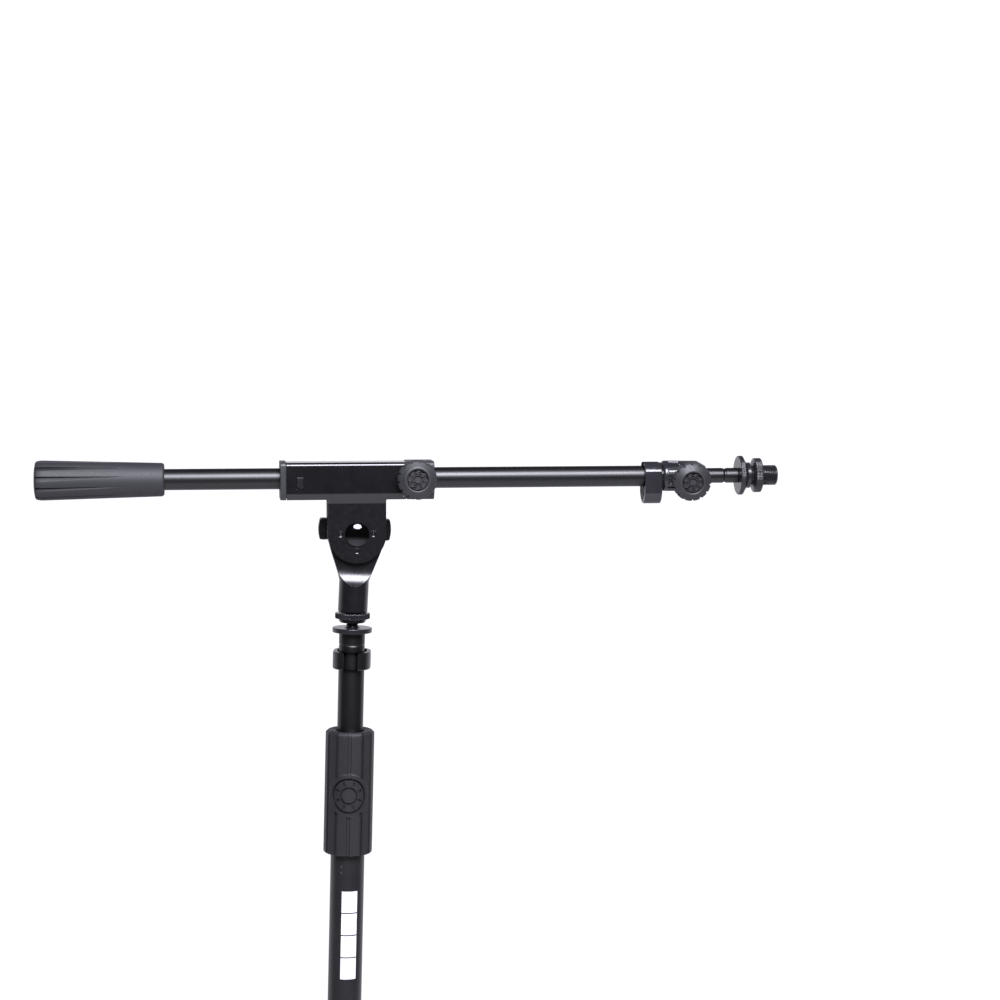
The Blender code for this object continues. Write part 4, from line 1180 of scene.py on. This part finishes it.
def tip():
    inside = ROD_R - WALL
    end = MIC_FLANGE_X - GAP
    ring = [(ROD_R, end, 0.3), (ROD_R, ROD_CRIMP_X + 1.5, 0.5), (ROD_R - 0.6, ROD_CRIMP_X + 0.5, 0.4)]
    ring += [(ROD_R - 0.6, ROD_CRIMP_X - 0.5, 0.4), (ROD_R, ROD_CRIMP_X - 1.5, 0.5)]
    ring += [(ROD_R, ROD_START), (inside, ROD_START), (inside, end)]
    piece("boom_inner_rod", lathe("rod", rounded(ring), 96), BOOM_AXIS, "rod", "tube", ["boom_rod"], "X")

    flange, low = MIC_FLANGE_X, MIC_FLANGE_X + 9
    stud = [(0, MIC_STUD_END), (MIC_STUD_R - 1, MIC_STUD_END), (MIC_STUD_R, MIC_STUD_END - 1.2)]
    stud += [(MIC_STUD_R, low), (10.0, low), (10.0, flange + 6.6), (FLANGE_R - 1.2, flange + 3.9)]
    stud += [(FLANGE_R, flange + 3.3), (FLANGE_R, flange + 0.5), (FLANGE_R - 0.5, flange)]
    stud += [(inside - GAP, flange), (inside - GAP, flange - 22), (0, flange - 22)]
    teeth = knurl(FLANGE_R, 84, 0.22)

    def relief(r, z, angle):
        if r > FLANGE_R - 0.4:
            return teeth(r, z, angle)
        return thread((r, z, angle), MIC_STUD_R, PITCH_58, 0.55, low, MIC_STUD_END)

    mesh = lathe("mic_stud", finer(stud, PITCH_58 / 6, closed=False), 336, relief, 60)
    piece("mic_thread_stud", mesh, BOOM_AXIS, "rod", "chrome", ["mic_stud"], "X")

    bore = MIC_STUD_R + GAP
    ring = [(bore, MIC_RING_X), (10.6, MIC_RING_X, 0.3), (RING_R, MIC_RING_X + 1.2, 0.4)]
    ring += [(RING_R, MIC_RING_END, 0.5), (bore, MIC_RING_END)]
    mesh = lathe("mic_ring", finer(rounded(ring), 0.8), 360, knurl(RING_R, 72), 60)
    piece("mic_clip_lock_ring", mesh, BOOM_AXIS, "mic_ring", "chrome", ["mic_lock_ring"], "X")


# --- the CAD nodes that stay


def keep_cad_nodes():
    looks = {
        "nylon": ["clutch_socket", "clutch_collet", "mast_guide_bush", "boom_guide_liner", "boom_clamp_pad",
                  "rod_clutch_bush", "rod_clamp_pad", "rod_guide_bush"],
        "brass": ["stalk_thread_insert", "wing_nut_insert", "boom_clamp_insert", "rod_clamp_insert"],
        "zinc": ["boom_clamp_screw", "rod_clamp_screw"],
        "fibre": ["friction_washer_front", "friction_washer_rear"],
        "black": ["clutch_nut"],
    }
    for look, names in looks.items():
        for name in names:
            slots = frame["nodes"][name].data.materials
            slots.clear()
            slots.append(MATERIALS[look])


# --- studio


def studio():
    shape = bmesh.new()
    bmesh.ops.create_circle(shape, cap_ends=True, segments=96, radius=FLOOR_R)
    mesh = bpy.data.meshes.new("floor")
    shape.to_mesh(mesh)
    shape.free()
    floor = added("floor", mesh)
    floor.location = (0, 0, -0.0005)
    paper = Surface("floor_paper", (0.88, 0.88, 0.88), specular=0.2)
    paper.vary_colour(3, 0.01).bump(400, 0.02)
    mesh.materials.append(paper.material)
    white_room()
    lamp("softbox_above")
    bpy.context.scene.view_settings.view_transform = "Standard"


def white_room():
    """A room that is white to look at, and that lights the stand from below and from low behind it."""
    world = bpy.data.worlds.new("studio")
    bpy.context.scene.world = world
    world.use_nodes = True
    tree = world.node_tree
    nodes, links = tree.nodes, tree.links
    background = nodes["Background"]
    parts = nodes.new("ShaderNodeSeparateXYZ")
    links.new(nodes.new("ShaderNodeTexCoord").outputs["Generated"], parts.inputs["Vector"])

    def joined(first, second, operation):
        made = nodes.new("ShaderNodeMath")
        made.operation = operation
        links.new(first, made.inputs[0])
        links.new(second, made.inputs[1])
        return made.outputs["Value"]

    below = ramp(tree, parts.outputs["Z"], -0.6, -0.25, 0.78, 0.07, "SMOOTHSTEP")
    behind = ramp(tree, parts.outputs["Y"], -0.1, 0.5, 0.0, 1.0, "SMOOTHSTEP")
    low = ramp(tree, parts.outputs["Z"], 0.3, 0.65, 1.0, 0.0, "SMOOTHSTEP")
    light = joined(below, joined(behind, low, "MULTIPLY"), "MAXIMUM")
    seen = nodes.new("ShaderNodeMix")
    links.new(nodes.new("ShaderNodeLightPath").outputs["Is Camera Ray"], seen.inputs["Factor"])
    links.new(light, seen.inputs["A"])
    seen.inputs["B"].default_value = ROOM_SEEN
    links.new(seen.outputs["Result"], background.inputs["Strength"])
    background.inputs["Color"].default_value = ROOM_COLOUR


def lamp(name):
    data = bpy.data.lights.new(name, "AREA")
    data.shape = "ELLIPSE"
    data.size, data.size_y = LAMP_SIZE
    data.energy = LAMP_POWER
    data.color = LAMP_COLOUR
    obj = added(name, data)
    obj.location = LAMP_PLACE
    aim = Vector(LAMP_AIM) - Vector(LAMP_PLACE)
    obj.rotation_euler = aim.to_track_quat("-Z", "Y").to_euler()


def camera():
    """The camera stands in front, a little to the left of the mast and above the boom."""
    data = bpy.data.cameras.new("camera")
    data.sensor_width = 36.0
    data.lens = CAMERA_LENS
    obj = added("camera", data)
    yaw, pitch, roll = (math.radians(angle) for angle in CAMERA_TURNS)
    forward = Vector((math.sin(yaw) * math.cos(pitch), math.cos(yaw) * math.cos(pitch), math.sin(pitch)))
    turn = forward.to_track_quat("-Z", "Y").to_matrix() @ Matrix.Rotation(roll, 3, "Z")
    side = math.radians(CAMERA_SIDE)
    place = Vector((-math.sin(side), -math.cos(side), 0)) * CAMERA_DISTANCE
    obj.matrix_world = Matrix.Translation(place + Vector((0, 0, CAMERA_HEIGHT))) @ turn.to_4x4()
    bpy.context.scene.camera = obj


STEPS = (
    camera, studio, hub, legs, outer_tube, printed_mark, clutch_grip, inner_tube, mast_top, clips, stalk,
    housing, dimples, caps, pivot_fittings, knobs, boom_barrel, handle, collar, tip, keep_cad_nodes,
)
for step in STEPS:
    step()
